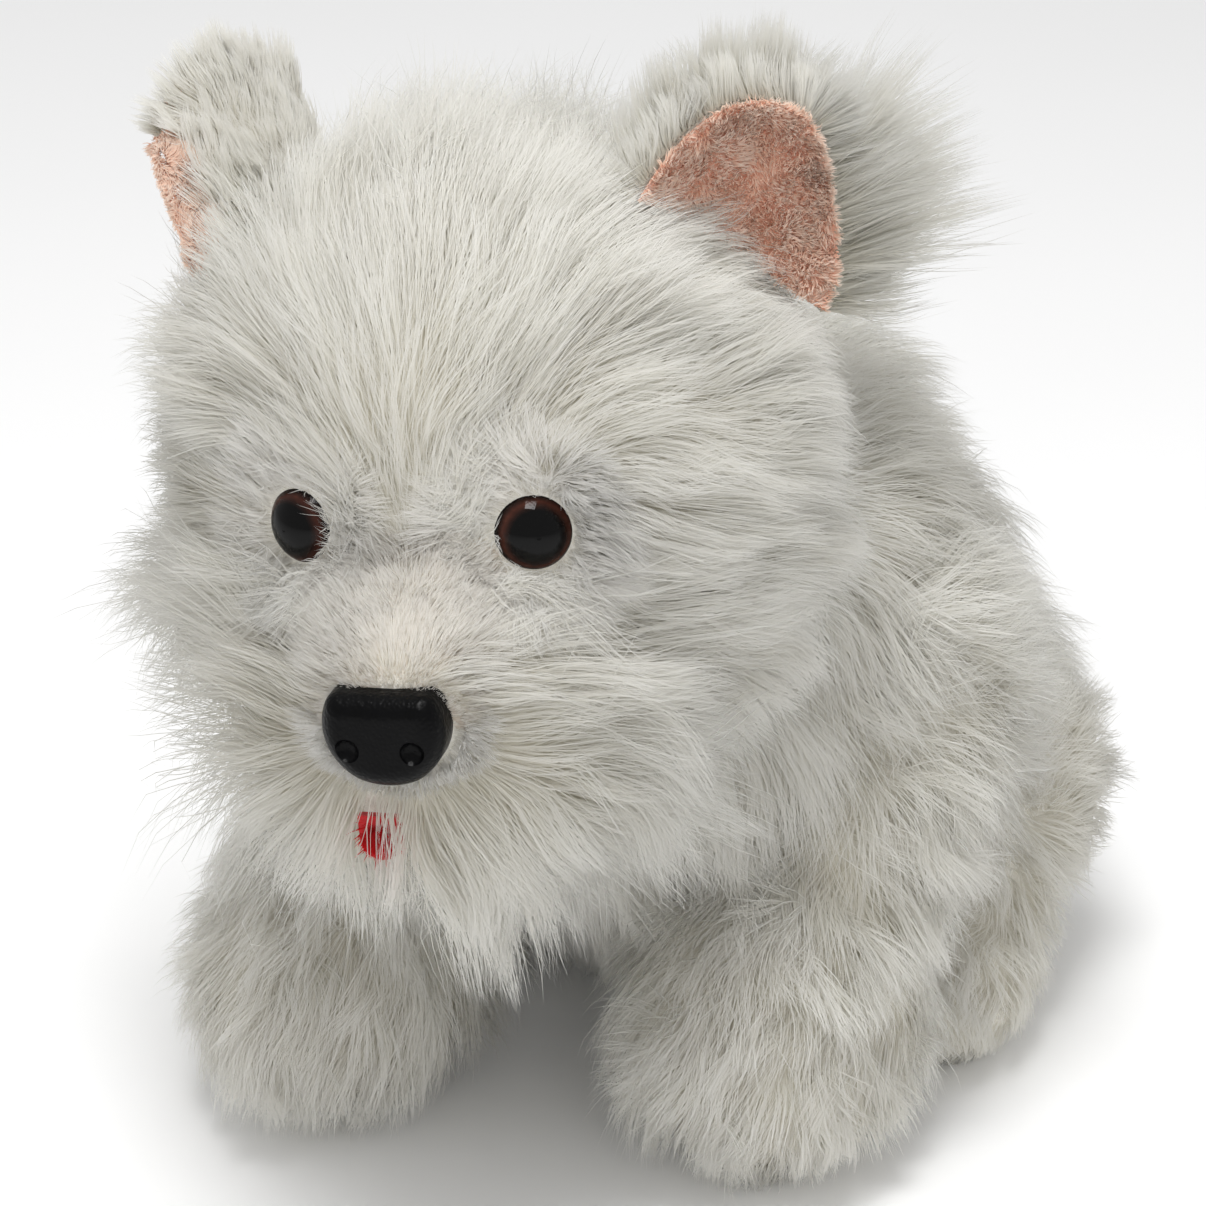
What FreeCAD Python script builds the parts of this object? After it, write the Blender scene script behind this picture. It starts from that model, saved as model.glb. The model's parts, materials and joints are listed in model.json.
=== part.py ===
import FreeCAD, Part
import math
import os
import Sketcher

# A seated plush dog, 0.2 m tall.  +Z is up, the dog faces -Y and its left side is +X.  The origin is
# the middle of the flat underside of the seat.  Every fur panel stands for the woven backing and the
# lower, matted part of its pile, so a panel is as thick as that fur.

SIZES = [
    ("gap", 0.5, "running gap between soft parts that move on each other"),
    ("pile", 12.0, "thickness of the fur on the torso and the head"),
    ("limb_pile", 9.0, "thickness of the fur on the legs"),
    ("tail_pile", 5.5, "thickness of the fur on the tail"),
    ("rump_radius", 58.0, "radius of the rump"),
    ("rump_y", 0.0, "rump centre, along the dog"),
    ("rump_z", 46.0, "rump centre, above the ground"),
    ("chest_radius", 62.0, "radius of the chest"),
    ("chest_y", -42.0, "chest centre, along the dog"),
    ("chest_z", 97.0, "chest centre, above the ground"),
    ("waist_radius", 50.0, "radius of the trunk between rump and chest"),
    ("belly_width", 44.0, "width of the belly panel"),
    ("belly_back", -12.0, "rear edge of the belly panel"),
    ("belly_top", 86.0, "upper edge of the belly panel"),
    ("seat_top", 12.0, "upper edge of the seat panel"),
    ("skull_radius", 61.0, "radius of the skull"),
    ("head_x", -3.0, "skull centre, to the dog's left"),
    ("head_y", -112.0, "skull centre, along the dog"),
    ("head_z", 157.0, "skull centre, above the ground"),
    ("head_turn", 14.5, "turn of the head to the dog's left, degrees"),
    ("head_roll", -5.0, "roll of the head, left side up, degrees"),
    ("neck_wad", 7.5, "thickness of the wad of filling in the neck"),
    ("neck_angle", 20.0, "half angle of the wad, seen from the skull centre, degrees"),
    ("neck_seam_angle", 2.5, "width of the ring of stitches round the wad, degrees"),
    ("muzzle_radius", 31.0, "radius of the muzzle"),
    ("muzzle_y", -42.0, "muzzle centre, from the skull centre"),
    ("muzzle_z", -28.0, "muzzle centre, from the skull centre"),
    ("muzzle_back", -50.0, "rear edge of the muzzle and chin panels"),
    ("mouth_z", -40.0, "height of the mouth seam, from the skull centre"),
    ("gusset_width", 26.0, "width of the strip from the nose over the forehead to the nape"),
    ("nape_z", -22.0, "lower edge of that strip at the nape"),
    ("eye_yaw", 26.0, "angle of each eye outwards, degrees"),
    ("eye_rise", 5.6, "angle of each eye upwards, degrees"),
    ("eye_floor", 50.5, "back of the eye, from the skull centre"),
    ("eye_radius", 7.5, "radius of the eye"),
    ("eye_rim", 0.2, "room in the fur round the eye"),
    ("eye_plate", 1.0, "thickness of the eye's back plate"),
    ("eye_dome", 4.6, "height of the clear dome over the plate"),
    ("pupil_radius", 4.8, "radius of the pupil"),
    ("pupil_rise", 1.4, "height of the pupil over the plate"),
    ("shank_radius", 2.3, "radius of the eye and nose shanks"),
    ("shank_length", 8.5, "length of the eye and nose shanks"),
    ("washer_radius", 6.5, "outer radius of a lock washer"),
    ("washer_thick", 1.5, "thickness of a lock washer"),
    ("washer_drop", 4.5, "from the back of an eye or nose to the back of its washer"),
    ("nose_front", 78.0, "front of the nose, from the skull centre"),
    ("nose_depth", 10.5, "front to back size of the nose"),
    ("nose_z", -22.6, "middle of the nose, from the skull centre"),
    ("nose_top", 7.6, "top of the nose above its middle"),
    ("nose_bottom", 9.2, "bottom of the nose below its middle"),
    ("nose_half_top", 9.4, "half width of the flat top"),
    ("nose_half_low", 5.6, "half width of the rounded bottom"),
    ("nose_side_radius", 11.5, "radius of each bulging side"),
    ("nose_corner", 3.0, "rounding of the nose's two upper corners"),
    ("nose_round", 4.0, "rounding of the front edge of the nose"),
    ("nose_bottom_radius", 14.0, "radius of the bulging bottom"),
    ("nose_seat_side", 3.4, "room in the fur beside the nose's flat top"),
    ("nose_seat_low", 1.6, "room in the fur below the nose"),
    ("nose_seat_high", 0.2, "room in the fur above the nose"),
    ("nostril_radius", 2.6, "radius of the ball that shapes a nostril"),
    ("nostril_x", 6.2, "nostril, from the middle of the nose"),
    ("nostril_y", 2.4, "nostril, below the middle of the nose"),
    ("nostril_depth", 1.5, "depth of a nostril"),
    ("tongue_width", 8.0, "width of the felt tongue"),
    ("tongue_length", 9.0, "length of the felt tongue"),
    ("tongue_thick", 1.6, "thickness of the felt"),
    ("tongue_x", -4.5, "middle of the tongue, from the middle of the head"),
    ("tongue_y", -69.5, "back of the tongue, from the skull centre"),
    ("tongue_z", -41.5, "top of the tongue, from the skull centre"),
    ("ear_tilt", 46.0, "angle of the ear's root from the crown, degrees"),
    ("ear_behind", 10.0, "angle of the ear's root behind the crown, degrees"),
    ("ear_lean", 12.0, "backward lean of the ears, degrees"),
    ("left_ear_turn", 30.0, "outward turn of the left ear, degrees"),
    ("right_ear_turn", -110.0, "outward turn of the right ear, degrees"),
    ("ear_root", 5.0, "radius of the rolled root of the ear"),
    ("ear_width", 45.0, "width of the ear at its root"),
    ("ear_height", 37.0, "height of the ear above its root"),
    ("ear_back_thick", 7.0, "thickness of the ear's fur back"),
    ("ear_seam", 2.6, "face of the fur back that the lining lies on, from the middle"),
    ("ear_lining_thick", 1.8, "thickness of the ear's lining"),
    ("ear_margin", 4.0, "fur border round the lining"),
    ("shoulder_x", 50.0, "top of a foreleg, from the middle of the dog"),
    ("forepaw_x", 45.0, "forepaw centre, from the middle of the dog"),
    ("foreleg_radius", 23.0, "radius of a foreleg"),
    ("forepaw_radius", 29.0, "radius of a forepaw"),
    ("forepaw_z", 28.0, "forepaw centre, above the ground"),
    ("left_forepaw_y", -84.0, "left forepaw centre, along the dog"),
    ("right_forepaw_y", -110.0, "right forepaw centre, along the dog"),
    ("thigh_x", 44.0, "thigh centre, from the middle of the dog"),
    ("thigh_y", 2.0, "thigh centre, along the dog"),
    ("thigh_z", 44.0, "thigh centre, above the ground"),
    ("thigh_radius", 28.0, "radius of a thigh"),
    ("foot_x", 56.0, "hind foot centre, from the middle of the dog"),
    ("foot_y", -27.0, "hind foot centre, along the dog"),
    ("foot_z", 19.5, "hind foot centre, above the ground"),
    ("foot_radius", 20.5, "radius of a hind foot"),
    ("tail_rise", 12.0, "angle of the tail's root above the rump centre, degrees"),
    ("tail_radius", 11.0, "radius of the tail at its root"),
    ("tail_tip_radius", 9.0, "radius of the tail's tip"),
    ("tail_length", 26.0, "length of the tail between its two rounded ends"),
    ("tail_out", 4.0, "middle of the tail's root, outside the rump"),
]

RUMP = ("0", "Sizes.rump_y", "Sizes.rump_z")
CHEST = ("0", "Sizes.chest_y", "Sizes.chest_z")
SKULL = ("Sizes.head_x", "Sizes.head_y", "Sizes.head_z")
MUZZLE = ("0", "Sizes.muzzle_y", "Sizes.muzzle_z")
MIDDLE = ("0", "0", "0")
FAR = "300"
TOLERANCE = 0.001

LEFT, RIGHT = 1, -1
SIDES = (("left", LEFT), ("right", RIGHT))


def make_sheet(doc):
    """The spreadsheet that drives the model: one row for each size."""
    sheet = doc.addObject("Spreadsheet::Sheet", "Sizes")
    for row, (alias, value, meaning) in enumerate(SIZES, start=1):
        sheet.set(f"A{row}", meaning)
        sheet.set(f"B{row}", str(value))
        sheet.setAlias(f"B{row}", alias)
    doc.recompute()
    return sheet


# ---------------------------------------------------------------- placing and joining

def turned(yaw=0.0, pitch=0.0, roll=0.0, at=(0, 0, 0)):
    """A placement at a point, turned about Z, then Y, then X of its own axes."""
    return FreeCAD.Placement(FreeCAD.Vector(*at), FreeCAD.Rotation(yaw, pitch, roll))


def move(solid, centre):
    """Tie the solid's position to three formulas."""
    for axis, formula in zip("xyz", centre):
        solid.setExpression(f"Placement.Base.{axis}", formula)


def ball(doc, name, radius, centre):
    solid = doc.addObject("Part::Sphere", name)
    solid.setExpression("Radius", radius)
    move(solid, centre)
    return solid


def rod(doc, name, radius, height, placement=None):
    """A cylinder that starts at the placement and runs along its Z axis."""
    solid = doc.addObject("Part::Cylinder", name)
    solid.setExpression("Radius", radius)
    solid.setExpression("Height", height)
    if placement:
        solid.Placement = placement
    return solid


def block(doc, name, low, high):
    """A box between two corners, each given as three formulas."""
    solid = doc.addObject("Part::Box", name)
    for side, start, stop in zip(("Length", "Width", "Height"), low, high):
        solid.setExpression(side, f"({stop}) - ({start})")
    move(solid, low)
    return solid


def fuse(doc, name, *solids):
    joined = doc.addObject("Part::MultiFuse", name)
    joined.Shapes = list(solids)
    return joined


def common(doc, name, *solids):
    shared = doc.addObject("Part::MultiCommon", name)
    shared.Shapes = list(solids)
    return shared


def cut(doc, name, base, *tools):
    """The base with every tool taken out of it."""
    result = doc.addObject("Part::Cut", name)
    result.Base = base
    result.Tool = tools[0] if len(tools) == 1 else fuse(doc, f"{name}_tools", *tools)
    return result


def bone(doc, name, start, start_radius, end, end_radius, shaft_radius):
    """Two balls and the straight shaft between them.  Points are triples of formulas."""
    lengths = [f"(({b}) - ({a}))" for a, b in zip(start, end)]
    shaft = doc.addObject("Part::Cylinder", f"{name}_shaft")
    shaft.setExpression("Radius", shaft_radius)
    shaft.setExpression("Height", "sqrt(" + " + ".join(f"{size} * {size}" for size in lengths) + ")")
    probe = [number(doc, size) for size in lengths]
    along = FreeCAD.Rotation(FreeCAD.Vector(0, 0, 1), FreeCAD.Vector(*probe))
    shaft.Placement = FreeCAD.Placement(FreeCAD.Vector(), along)
    move(shaft, start)
    first = ball(doc, f"{name}_start", start_radius, start)
    last = ball(doc, f"{name}_end", end_radius, end)
    return fuse(doc, name, first, last, shaft)


def number(doc, formula):
    """The present value of a formula in the sheet's sizes."""
    return float(doc.getObject("Sizes").evalExpression(formula))


def body(doc, name, placement=None):
    """An empty PartDesign body."""
    result = doc.addObject("PartDesign::Body", name)
    if placement:
        result.Placement = placement
    return result


def sketch(owner, name, plane="XY_Plane", lift=0.0):
    """A sketch on one of the body's own origin planes, lifted along the plane's normal."""
    drawing = owner.newObject("Sketcher::SketchObject", name)
    support = next(item for item in owner.Origin.OriginFeatures if item.Role == plane)
    drawing.AttachmentSupport = [(support, "")]
    drawing.MapMode = "FlatFace"
    drawing.AttachmentOffset = turned(at=(0, 0, lift))
    return drawing


def circle(doc, drawing, radius, across="0", up="0"):
    """A circle whose radius and centre are tied to formulas."""
    centre = FreeCAD.Vector(number(doc, across), number(doc, up), 0)
    edge = drawing.addGeometry(Part.Circle(centre, FreeCAD.Vector(0, 0, 1), number(doc, radius)), False)
    tie(drawing, Sketcher.Constraint("Radius", edge, number(doc, radius)), radius)
    pin(doc, drawing, edge, 3, across, up)
    return edge


def tie(drawing, constraint, formula):
    """Add a constraint and drive its value by a formula."""
    index = drawing.addConstraint(constraint)
    drawing.setExpression(f"Constraints[{index}]", formula)


def pin(doc, drawing, edge, point, across, up):
    """Hold one point of an edge at two formulas."""
    for kind, formula in (("DistanceX", across), ("DistanceY", up)):
        value = number(doc, formula)
        if abs(value) < 1e-9:
            on_axis = -2 if kind == "DistanceX" else -1
            drawing.addConstraint(Sketcher.Constraint("PointOnObject", edge, point, on_axis))
        else:
            tie(drawing, Sketcher.Constraint(kind, -1, 1, edge, point, value), formula)


def outline(doc, drawing, points, bulges):
    """A closed outline.  points are pairs of formulas; bulges[i] is the radius of the arc from
    point i to the next, or None for a straight edge.  The points run anticlockwise."""
    spots = [FreeCAD.Vector(number(doc, x), number(doc, y), 0) for x, y in points]
    for index, bulge in enumerate(bulges):
        start, end = spots[index], spots[(index + 1) % len(spots)]
        if bulge is None:
            edge = drawing.addGeometry(Part.LineSegment(start, end), False)
        else:
            edge = drawing.addGeometry(arc_between(start, end, number(doc, bulge)), False)
            tie(drawing, Sketcher.Constraint("Radius", edge, number(doc, bulge)), bulge)
        pin(doc, drawing, edge, 1, *points[index])
    for index in range(len(bulges)):
        drawing.addConstraint(Sketcher.Constraint("Coincident", index, 2, (index + 1) % len(bulges), 1))


def arc_between(start, end, radius):
    """The short arc of that radius that bulges to the right of the way from start to end."""
    chord = end - start
    half = chord.Length / 2
    outward = FreeCAD.Vector(chord.y, -chord.x, 0).normalize()
    sag = radius - math.sqrt(radius ** 2 - half ** 2)
    return Part.Arc(start, (start + end) * 0.5 + outward * sag, end)


def pad(owner, name, drawing, length, symmetric=False):
    feature = owner.newObject("PartDesign::Pad", name)
    feature.Profile = drawing
    feature.SideType = "Symmetric" if symmetric else "One side"
    feature.setExpression("Length", length)
    return feature


def pocket(owner, name, drawing, length):
    """A hole cut down from the sketch against its normal."""
    feature = owner.newObject("PartDesign::Pocket", name)
    feature.Profile = drawing
    feature.setExpression("Length", length)
    return feature


# ---------------------------------------------------------------- torso

def torso_form(doc, name, less):
    """Rump, chest and the trunk between them, drawn in by a formula and set on the ground."""
    trunk = bone(doc, f"{name}_trunk", RUMP, f"Sizes.rump_radius - {less}",
                 CHEST, f"Sizes.chest_radius - {less}", f"Sizes.waist_radius - {less}")
    above = block(doc, f"{name}_above", (f"-{FAR}", f"-{FAR}", less), (FAR, FAR, FAR))
    return common(doc, name, trunk, above)


def torso_room(doc):
    """What the torso leaves free: the hollow that the neck sits in and the tail's socket."""
    bowl = "Sizes.skull_radius + Sizes.neck_wad + 2 * Sizes.gap"
    neck_bowl = ball(doc, "neck_bowl", bowl, SKULL)
    tail_socket = ball(doc, "tail_socket", "Sizes.tail_radius + Sizes.gap", tail_root())
    return fuse(doc, "torso_room", neck_bowl, tail_socket)


def torso(doc):
    outer = torso_form(doc, "torso_outside", "0")
    inner = torso_form(doc, "torso_inside", "Sizes.pile")
    room = torso_room(doc)
    fur = cut(doc, "torso_fur", outer, inner, room)
    half = "Sizes.belly_width / 2"
    belly_zone = block(doc, "belly_zone", (f"-{half}", f"-{FAR}", "Sizes.seat_top"),
                       (half, "Sizes.belly_back", "Sizes.belly_top"))
    seat_zone = block(doc, "seat_zone", (f"-{FAR}", f"-{FAR}", "-1"), (FAR, FAR, "Sizes.seat_top"))
    parts = {"belly_panel": common(doc, "belly_panel", fur, belly_zone),
             "seat_panel": common(doc, "seat_panel", fur, seat_zone),
             "torso_stuffing": cut(doc, "torso_stuffing", inner, room)}
    for side, sign in SIDES:
        low, high = ("0", FAR) if sign == LEFT else (f"-{FAR}", "0")
        flank = block(doc, f"{side}_flank", (low, f"-{FAR}", "Sizes.seat_top"), (high, FAR, FAR))
        panel = f"{side}_back_panel"
        half_fur = common(doc, f"{panel}_whole", fur, flank)
        parts[panel] = cut(doc, panel, half_fur, belly_zone)
    return parts


# ---------------------------------------------------------------- neck

def neck(doc):
    """A curved wad of filling behind the skull, and the ring of stitches round it."""
    inside = ball(doc, "neck_inside", "Sizes.skull_radius + Sizes.gap", SKULL)
    outside = ball(doc, "neck_outside", "Sizes.skull_radius + Sizes.gap + Sizes.neck_wad", SKULL)
    shell = cut(doc, "neck_shell", outside, inside)
    wad_cone = neck_cone(doc, "neck_wad_cone", "Sizes.neck_angle")
    seam_cone = neck_cone(doc, "neck_seam_cone", "(Sizes.neck_angle + Sizes.neck_seam_angle)")
    wad = common(doc, "neck_stuffing", shell, wad_cone)
    ring = cut(doc, "neck_seam_ring", seam_cone, wad_cone)
    return {"neck_stuffing": wad, "neck_seam": common(doc, "neck_seam", shell, ring)}


def neck_cone(doc, name, angle):
    """A cone from the skull centre towards the chest centre."""
    cone = doc.addObject("Part::Cone", name)
    cone.Radius1 = 0
    cone.setExpression("Radius2", f"Sizes.skull_radius * 2 * tan({angle})")
    cone.setExpression("Height", "Sizes.skull_radius * 2")
    towards = [number(doc, f"({chest}) - ({skull})") for chest, skull in zip(CHEST, SKULL)]
    along = FreeCAD.Rotation(FreeCAD.Vector(0, 0, 1), FreeCAD.Vector(*towards))
    cone.Placement = FreeCAD.Placement(FreeCAD.Vector(), along)
    move(cone, SKULL)
    return cone


# ---------------------------------------------------------------- head, in its own frame

def head_place(doc):
    """From the head's frame, with the skull's centre as its origin, to the dog's frame."""
    at = [number(doc, formula) for formula in SKULL]
    return turned(number(doc, "Sizes.head_turn"), number(doc, "Sizes.head_roll"), 0, at)


def eye_place(doc, sign):
    """Z runs from the skull's centre out through the eye."""
    return turned(sign * number(doc, "Sizes.eye_yaw"), 0, 90 - number(doc, "Sizes.eye_rise"))


def nose_place(doc):
    """Z runs forwards through the nose and Y runs up."""
    return turned(0, 0, 90, (0, 0, number(doc, "Sizes.nose_z")))


def ear_place(doc, sign):
    """The origin is the middle of the ear's root, Y runs up the ear and Z out of its lining."""
    turn = number(doc, "Sizes.left_ear_turn" if sign == LEFT else "Sizes.right_ear_turn")
    radial = FreeCAD.Rotation(sign * number(doc, "Sizes.ear_behind"), sign * number(doc, "Sizes.ear_tilt"), 0)
    root = radial.multVec(FreeCAD.Vector(0, 0, number(doc, "Sizes.skull_radius")))
    stand = FreeCAD.Rotation(turn, 0, 90 - number(doc, "Sizes.ear_lean"))
    return FreeCAD.Placement(root, radial * stand)


def head_form(doc, name, less):
    skull = ball(doc, f"{name}_skull", f"Sizes.skull_radius - {less}", MIDDLE)
    muzzle = ball(doc, f"{name}_muzzle", f"Sizes.muzzle_radius - {less}", MUZZLE)
    return fuse(doc, name, skull, muzzle)


def eye_room(doc, side, sign):
    """The opening in the fur for one eye, its shank and its washer."""
    frame = eye_place(doc, sign)
    opening = lifted_rod(doc, f"{side}_eye_opening", "Sizes.eye_radius + Sizes.eye_rim",
                         "Sizes.skull_radius", frame, "Sizes.eye_floor")
    shank = lifted_rod(doc, f"{side}_eye_shank_hole", "Sizes.shank_radius", "Sizes.shank_length", frame,
                       "Sizes.eye_floor - Sizes.shank_length")
    washer = lifted_rod(doc, f"{side}_eye_washer_room", "Sizes.washer_radius", "Sizes.washer_thick", frame,
                        "Sizes.eye_floor - Sizes.washer_drop")
    return fuse(doc, f"{side}_eye_room", opening, shank, washer)


def lifted_rod(doc, name, radius, height, frame, lift):
    """A cylinder on the Z axis of a frame, started at a height along that axis."""
    start = frame.multiply(turned(at=(0, 0, number(doc, lift))))
    return rod(doc, name, radius, height, start)


def nose_room(doc):
    """The seat of the nose in the fur, with the hole of its shank and its washer."""
    back = "(Sizes.nose_front - Sizes.nose_depth)"
    half = "(Sizes.nose_half_top + Sizes.nose_seat_side)"
    seat = block(doc, "nose_seat",
                 (f"-{half}", f"-{FAR}", "Sizes.nose_z - Sizes.nose_bottom - Sizes.nose_seat_low"),
                 (half, f"-{back}", "Sizes.nose_z + Sizes.nose_top + Sizes.nose_seat_high"))
    frame = nose_place(doc)
    shank = lifted_rod(doc, "nose_shank_hole", "Sizes.shank_radius", "Sizes.shank_length", frame,
                       f"{back} - Sizes.shank_length")
    washer = lifted_rod(doc, "nose_washer_room", "Sizes.washer_radius", "Sizes.washer_thick", frame,
                        f"{back} - Sizes.washer_drop")
    return fuse(doc, "nose_room", seat, shank, washer)


def ear_groove(doc, side, sign):
    """The groove in the skull that the ear's rolled root turns in."""
    length = "Sizes.ear_width + 2 * Sizes.gap"
    start = turned(90, 0, 90, (-number(doc, length) / 2, 0, 0))
    frame = ear_place(doc, sign).multiply(start)
    return rod(doc, f"{side}_ear_groove", "Sizes.ear_root + Sizes.gap", length, frame)


def head_panels(doc):
    outer = head_form(doc, "head_outside", "0")
    inner = head_form(doc, "head_inside", "Sizes.pile")
    rooms = [nose_room(doc), tongue_room(doc)]
    for side, sign in SIDES:
        rooms.append(eye_room(doc, side, sign))
        rooms.append(ear_groove(doc, side, sign))
    room = fuse(doc, "head_room", *rooms)
    fur = cut(doc, "head_fur", outer, inner, room)
    snout = block(doc, "snout_zone", (f"-{FAR}", f"-{FAR}", "Sizes.mouth_z"),
                  (FAR, "Sizes.muzzle_back", "0"))
    jaw = block(doc, "jaw_zone", (f"-{FAR}", f"-{FAR}", f"-{FAR}"),
                (FAR, "Sizes.muzzle_back", "Sizes.mouth_z"))
    half = "Sizes.gusset_width / 2"
    strip = block(doc, "strip_zone", (f"-{half}", f"-{FAR}", "Sizes.nape_z"), (half, FAR, FAR))
    strip_only = cut(doc, "strip_only", strip, snout, jaw)
    parts = {"muzzle_panel": common(doc, "muzzle_panel", fur, snout),
             "chin_panel": common(doc, "chin_panel", fur, jaw),
             "forehead_gusset": common(doc, "forehead_gusset", fur, strip_only),
             "head_stuffing": cut(doc, "head_stuffing", inner, room)}
    for side, sign in SIDES:
        low, high = ("0", FAR) if sign == LEFT else (f"-{FAR}", "0")
        cheek = block(doc, f"{side}_cheek_zone", (low, f"-{FAR}", f"-{FAR}"), (high, FAR, FAR))
        panel = f"{side}_cheek_panel"
        half_fur = common(doc, f"{panel}_whole", fur, cheek)
        parts[panel] = cut(doc, panel, half_fur, strip, snout, jaw)
    return parts


def eye(doc, side, sign):
    """A safety eye: a clear dome on a dark plate with a pupil and a shank, and its lock washer."""
    frame = eye_place(doc, sign)
    floor = number(doc, "Sizes.eye_floor")
    plate_top = floor + number(doc, "Sizes.eye_plate")
    post = body(doc, f"{side}_eye_post", frame)
    for name, radius, start, length in (
            ("plate", "Sizes.eye_radius", floor, "Sizes.eye_plate"),
            ("shank", "Sizes.shank_radius", floor - number(doc, "Sizes.shank_length"), "Sizes.shank_length"),
            ("pupil", "Sizes.pupil_radius", plate_top, "Sizes.pupil_rise")):
        drawing = sketch(post, f"{side}_{name}_sketch", lift=start)
        circle(doc, drawing, radius)
        pad(post, f"{side}_{name}", drawing, length)
    dome = eye_dome(doc, side, frame, plate_top)
    washer = lock_washer(doc, f"{side}_eye_washer", frame, floor - number(doc, "Sizes.washer_drop"))
    return {f"{side}_eye_post": post, f"{side}_eye_dome": dome, f"{side}_eye_washer": washer}


def eye_dome(doc, side, frame, plate_top):
    """A ball cap as wide as the plate, hollowed under its middle for the pupil."""
    cap_radius = "((Sizes.eye_radius^2 + Sizes.eye_dome^2) / (2 * Sizes.eye_dome))"
    centre = plate_top + number(doc, "Sizes.eye_dome") - number(doc, cap_radius)
    cap = doc.addObject("Part::Sphere", f"{side}_dome_ball")
    cap.setExpression("Radius", cap_radius)
    cap.Placement = frame.multiply(turned(at=(0, 0, centre)))
    keep = rod(doc, f"{side}_dome_keep", "Sizes.eye_radius", "Sizes.eye_dome + 1",
               frame.multiply(turned(at=(0, 0, plate_top))))
    pupil = rod(doc, f"{side}_dome_pupil", "Sizes.pupil_radius", "Sizes.pupil_rise",
                frame.multiply(turned(at=(0, 0, plate_top))))
    whole = common(doc, f"{side}_dome_whole", cap, keep)
    return cut(doc, f"{side}_eye_dome", whole, pupil)


def lock_washer(doc, name, frame, lift):
    """A flat ring that grips the shank inside the fabric."""
    washer = body(doc, name, frame)
    disc = sketch(washer, f"{name}_disc", lift=lift)
    circle(doc, disc, "Sizes.washer_radius")
    pad(washer, f"{name}_pad", disc, "Sizes.washer_thick")
    hole = sketch(washer, f"{name}_hole", lift=lift + number(doc, "Sizes.washer_thick"))
    circle(doc, hole, "Sizes.shank_radius")
    pocket(washer, f"{name}_bore", hole, "Sizes.washer_thick")
    return washer


def is_upper_corner(edge, top):
    """Whether an edge runs front to back at the height of the nose's flat top."""
    start, end = (vertex.Point for vertex in edge.Vertexes)
    return abs(start.y - top) < TOLERANCE and abs(end.y - top) < TOLERANCE and abs(start.z - end.z) > 1


def nose(doc):
    """A moulded nose with a flat top, bulging sides and two nostril dents, on a shank with a washer."""
    frame = nose_place(doc)
    back = number(doc, "Sizes.nose_front - Sizes.nose_depth")
    shell = body(doc, "nose", frame)
    front = sketch(shell, "nose_outline", lift=back)
    outline(doc, front,
            [("-Sizes.nose_half_top", "Sizes.nose_top"), ("-Sizes.nose_half_low", "-Sizes.nose_bottom"),
             ("Sizes.nose_half_low", "-Sizes.nose_bottom"), ("Sizes.nose_half_top", "Sizes.nose_top")],
            ["Sizes.nose_side_radius", "Sizes.nose_bottom_radius", "Sizes.nose_side_radius", None])
    block_form = pad(shell, "nose_pad", front, "Sizes.nose_depth")
    doc.recompute()
    top = number(doc, "Sizes.nose_top")
    corners = shell.newObject("PartDesign::Fillet", "nose_corners")
    corners.Base = (block_form, [f"Edge{index + 1}" for index, edge in enumerate(block_form.Shape.Edges)
                                 if is_upper_corner(edge, top)])
    corners.setExpression("Radius", "Sizes.nose_corner")
    doc.recompute()
    heights = [face.CenterOfMass.z for face in corners.Shape.Faces]
    rim = shell.newObject("PartDesign::Fillet", "nose_rounding")
    rim.Base = (corners, [f"Face{heights.index(max(heights)) + 1}"])
    rim.setExpression("Radius", "Sizes.nose_round")
    for side, sign in SIDES:
        dent = shell.newObject("PartDesign::SubtractiveSphere", f"{side}_nostril")
        dent.setExpression("Radius", "Sizes.nostril_radius")
        dent.Placement = turned(at=(sign * number(doc, "Sizes.nostril_x"), -number(doc, "Sizes.nostril_y"),
                                    number(doc, "Sizes.nose_front + Sizes.nostril_radius"
                                                " - Sizes.nostril_depth")))
    stem = sketch(shell, "nose_shank_sketch", lift=back - number(doc, "Sizes.shank_length"))
    circle(doc, stem, "Sizes.shank_radius")
    pad(shell, "nose_shank", stem, "Sizes.shank_length + 1")
    washer = lock_washer(doc, "nose_washer", frame, back - number(doc, "Sizes.washer_drop"))
    return {"nose": shell, "nose_washer": washer}


def tongue_frame(doc):
    at = [number(doc, f"Sizes.tongue_{axis}") for axis in "xyz"]
    return turned(0, 0, 90, at)


def tongue_room(doc):
    """The slot at the mouth seam that the tongue is sewn into."""
    half = "Sizes.tongue_width / 2"
    low = (f"Sizes.tongue_x - {half}", "Sizes.tongue_y - Sizes.tongue_thick",
           "Sizes.tongue_z - Sizes.tongue_length")
    return block(doc, "tongue_slot", low, (f"Sizes.tongue_x + {half}", "Sizes.tongue_y", "Sizes.tongue_z"))


def tongue(doc):
    """A felt tab with a rounded lower end."""
    tab = body(doc, "tongue", tongue_frame(doc))
    drawing = sketch(tab, "tongue_outline")
    half = "Sizes.tongue_width / 2"
    low = "-(Sizes.tongue_length - Sizes.tongue_width / 2)"
    outline(doc, drawing, [(f"-{half}", "0"), (f"-{half}", low), (half, low), (half, "0")],
            [None, "Sizes.tongue_width / 2 + 0.001", None, None])
    pad(tab, "tongue_pad", drawing, "Sizes.tongue_thick")
    return {"tongue": tab}


# ---------------------------------------------------------------- ears, in the head's frame

def ear_outline(doc, drawing, margin, foot):
    """A rounded triangle: a straight foot, two bulging sides and a round tip."""
    half = f"(Sizes.ear_width / 2 - {margin})"
    tip = f"(Sizes.ear_width / 5 - {margin} / 2)"
    top = f"(Sizes.ear_height - {margin})"
    outline(doc, drawing, [(f"-{half}", foot), (half, foot), (tip, top), (f"-{tip}", top)],
            [None, "Sizes.ear_height", f"{tip} * 1.6", "Sizes.ear_height"])


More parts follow.
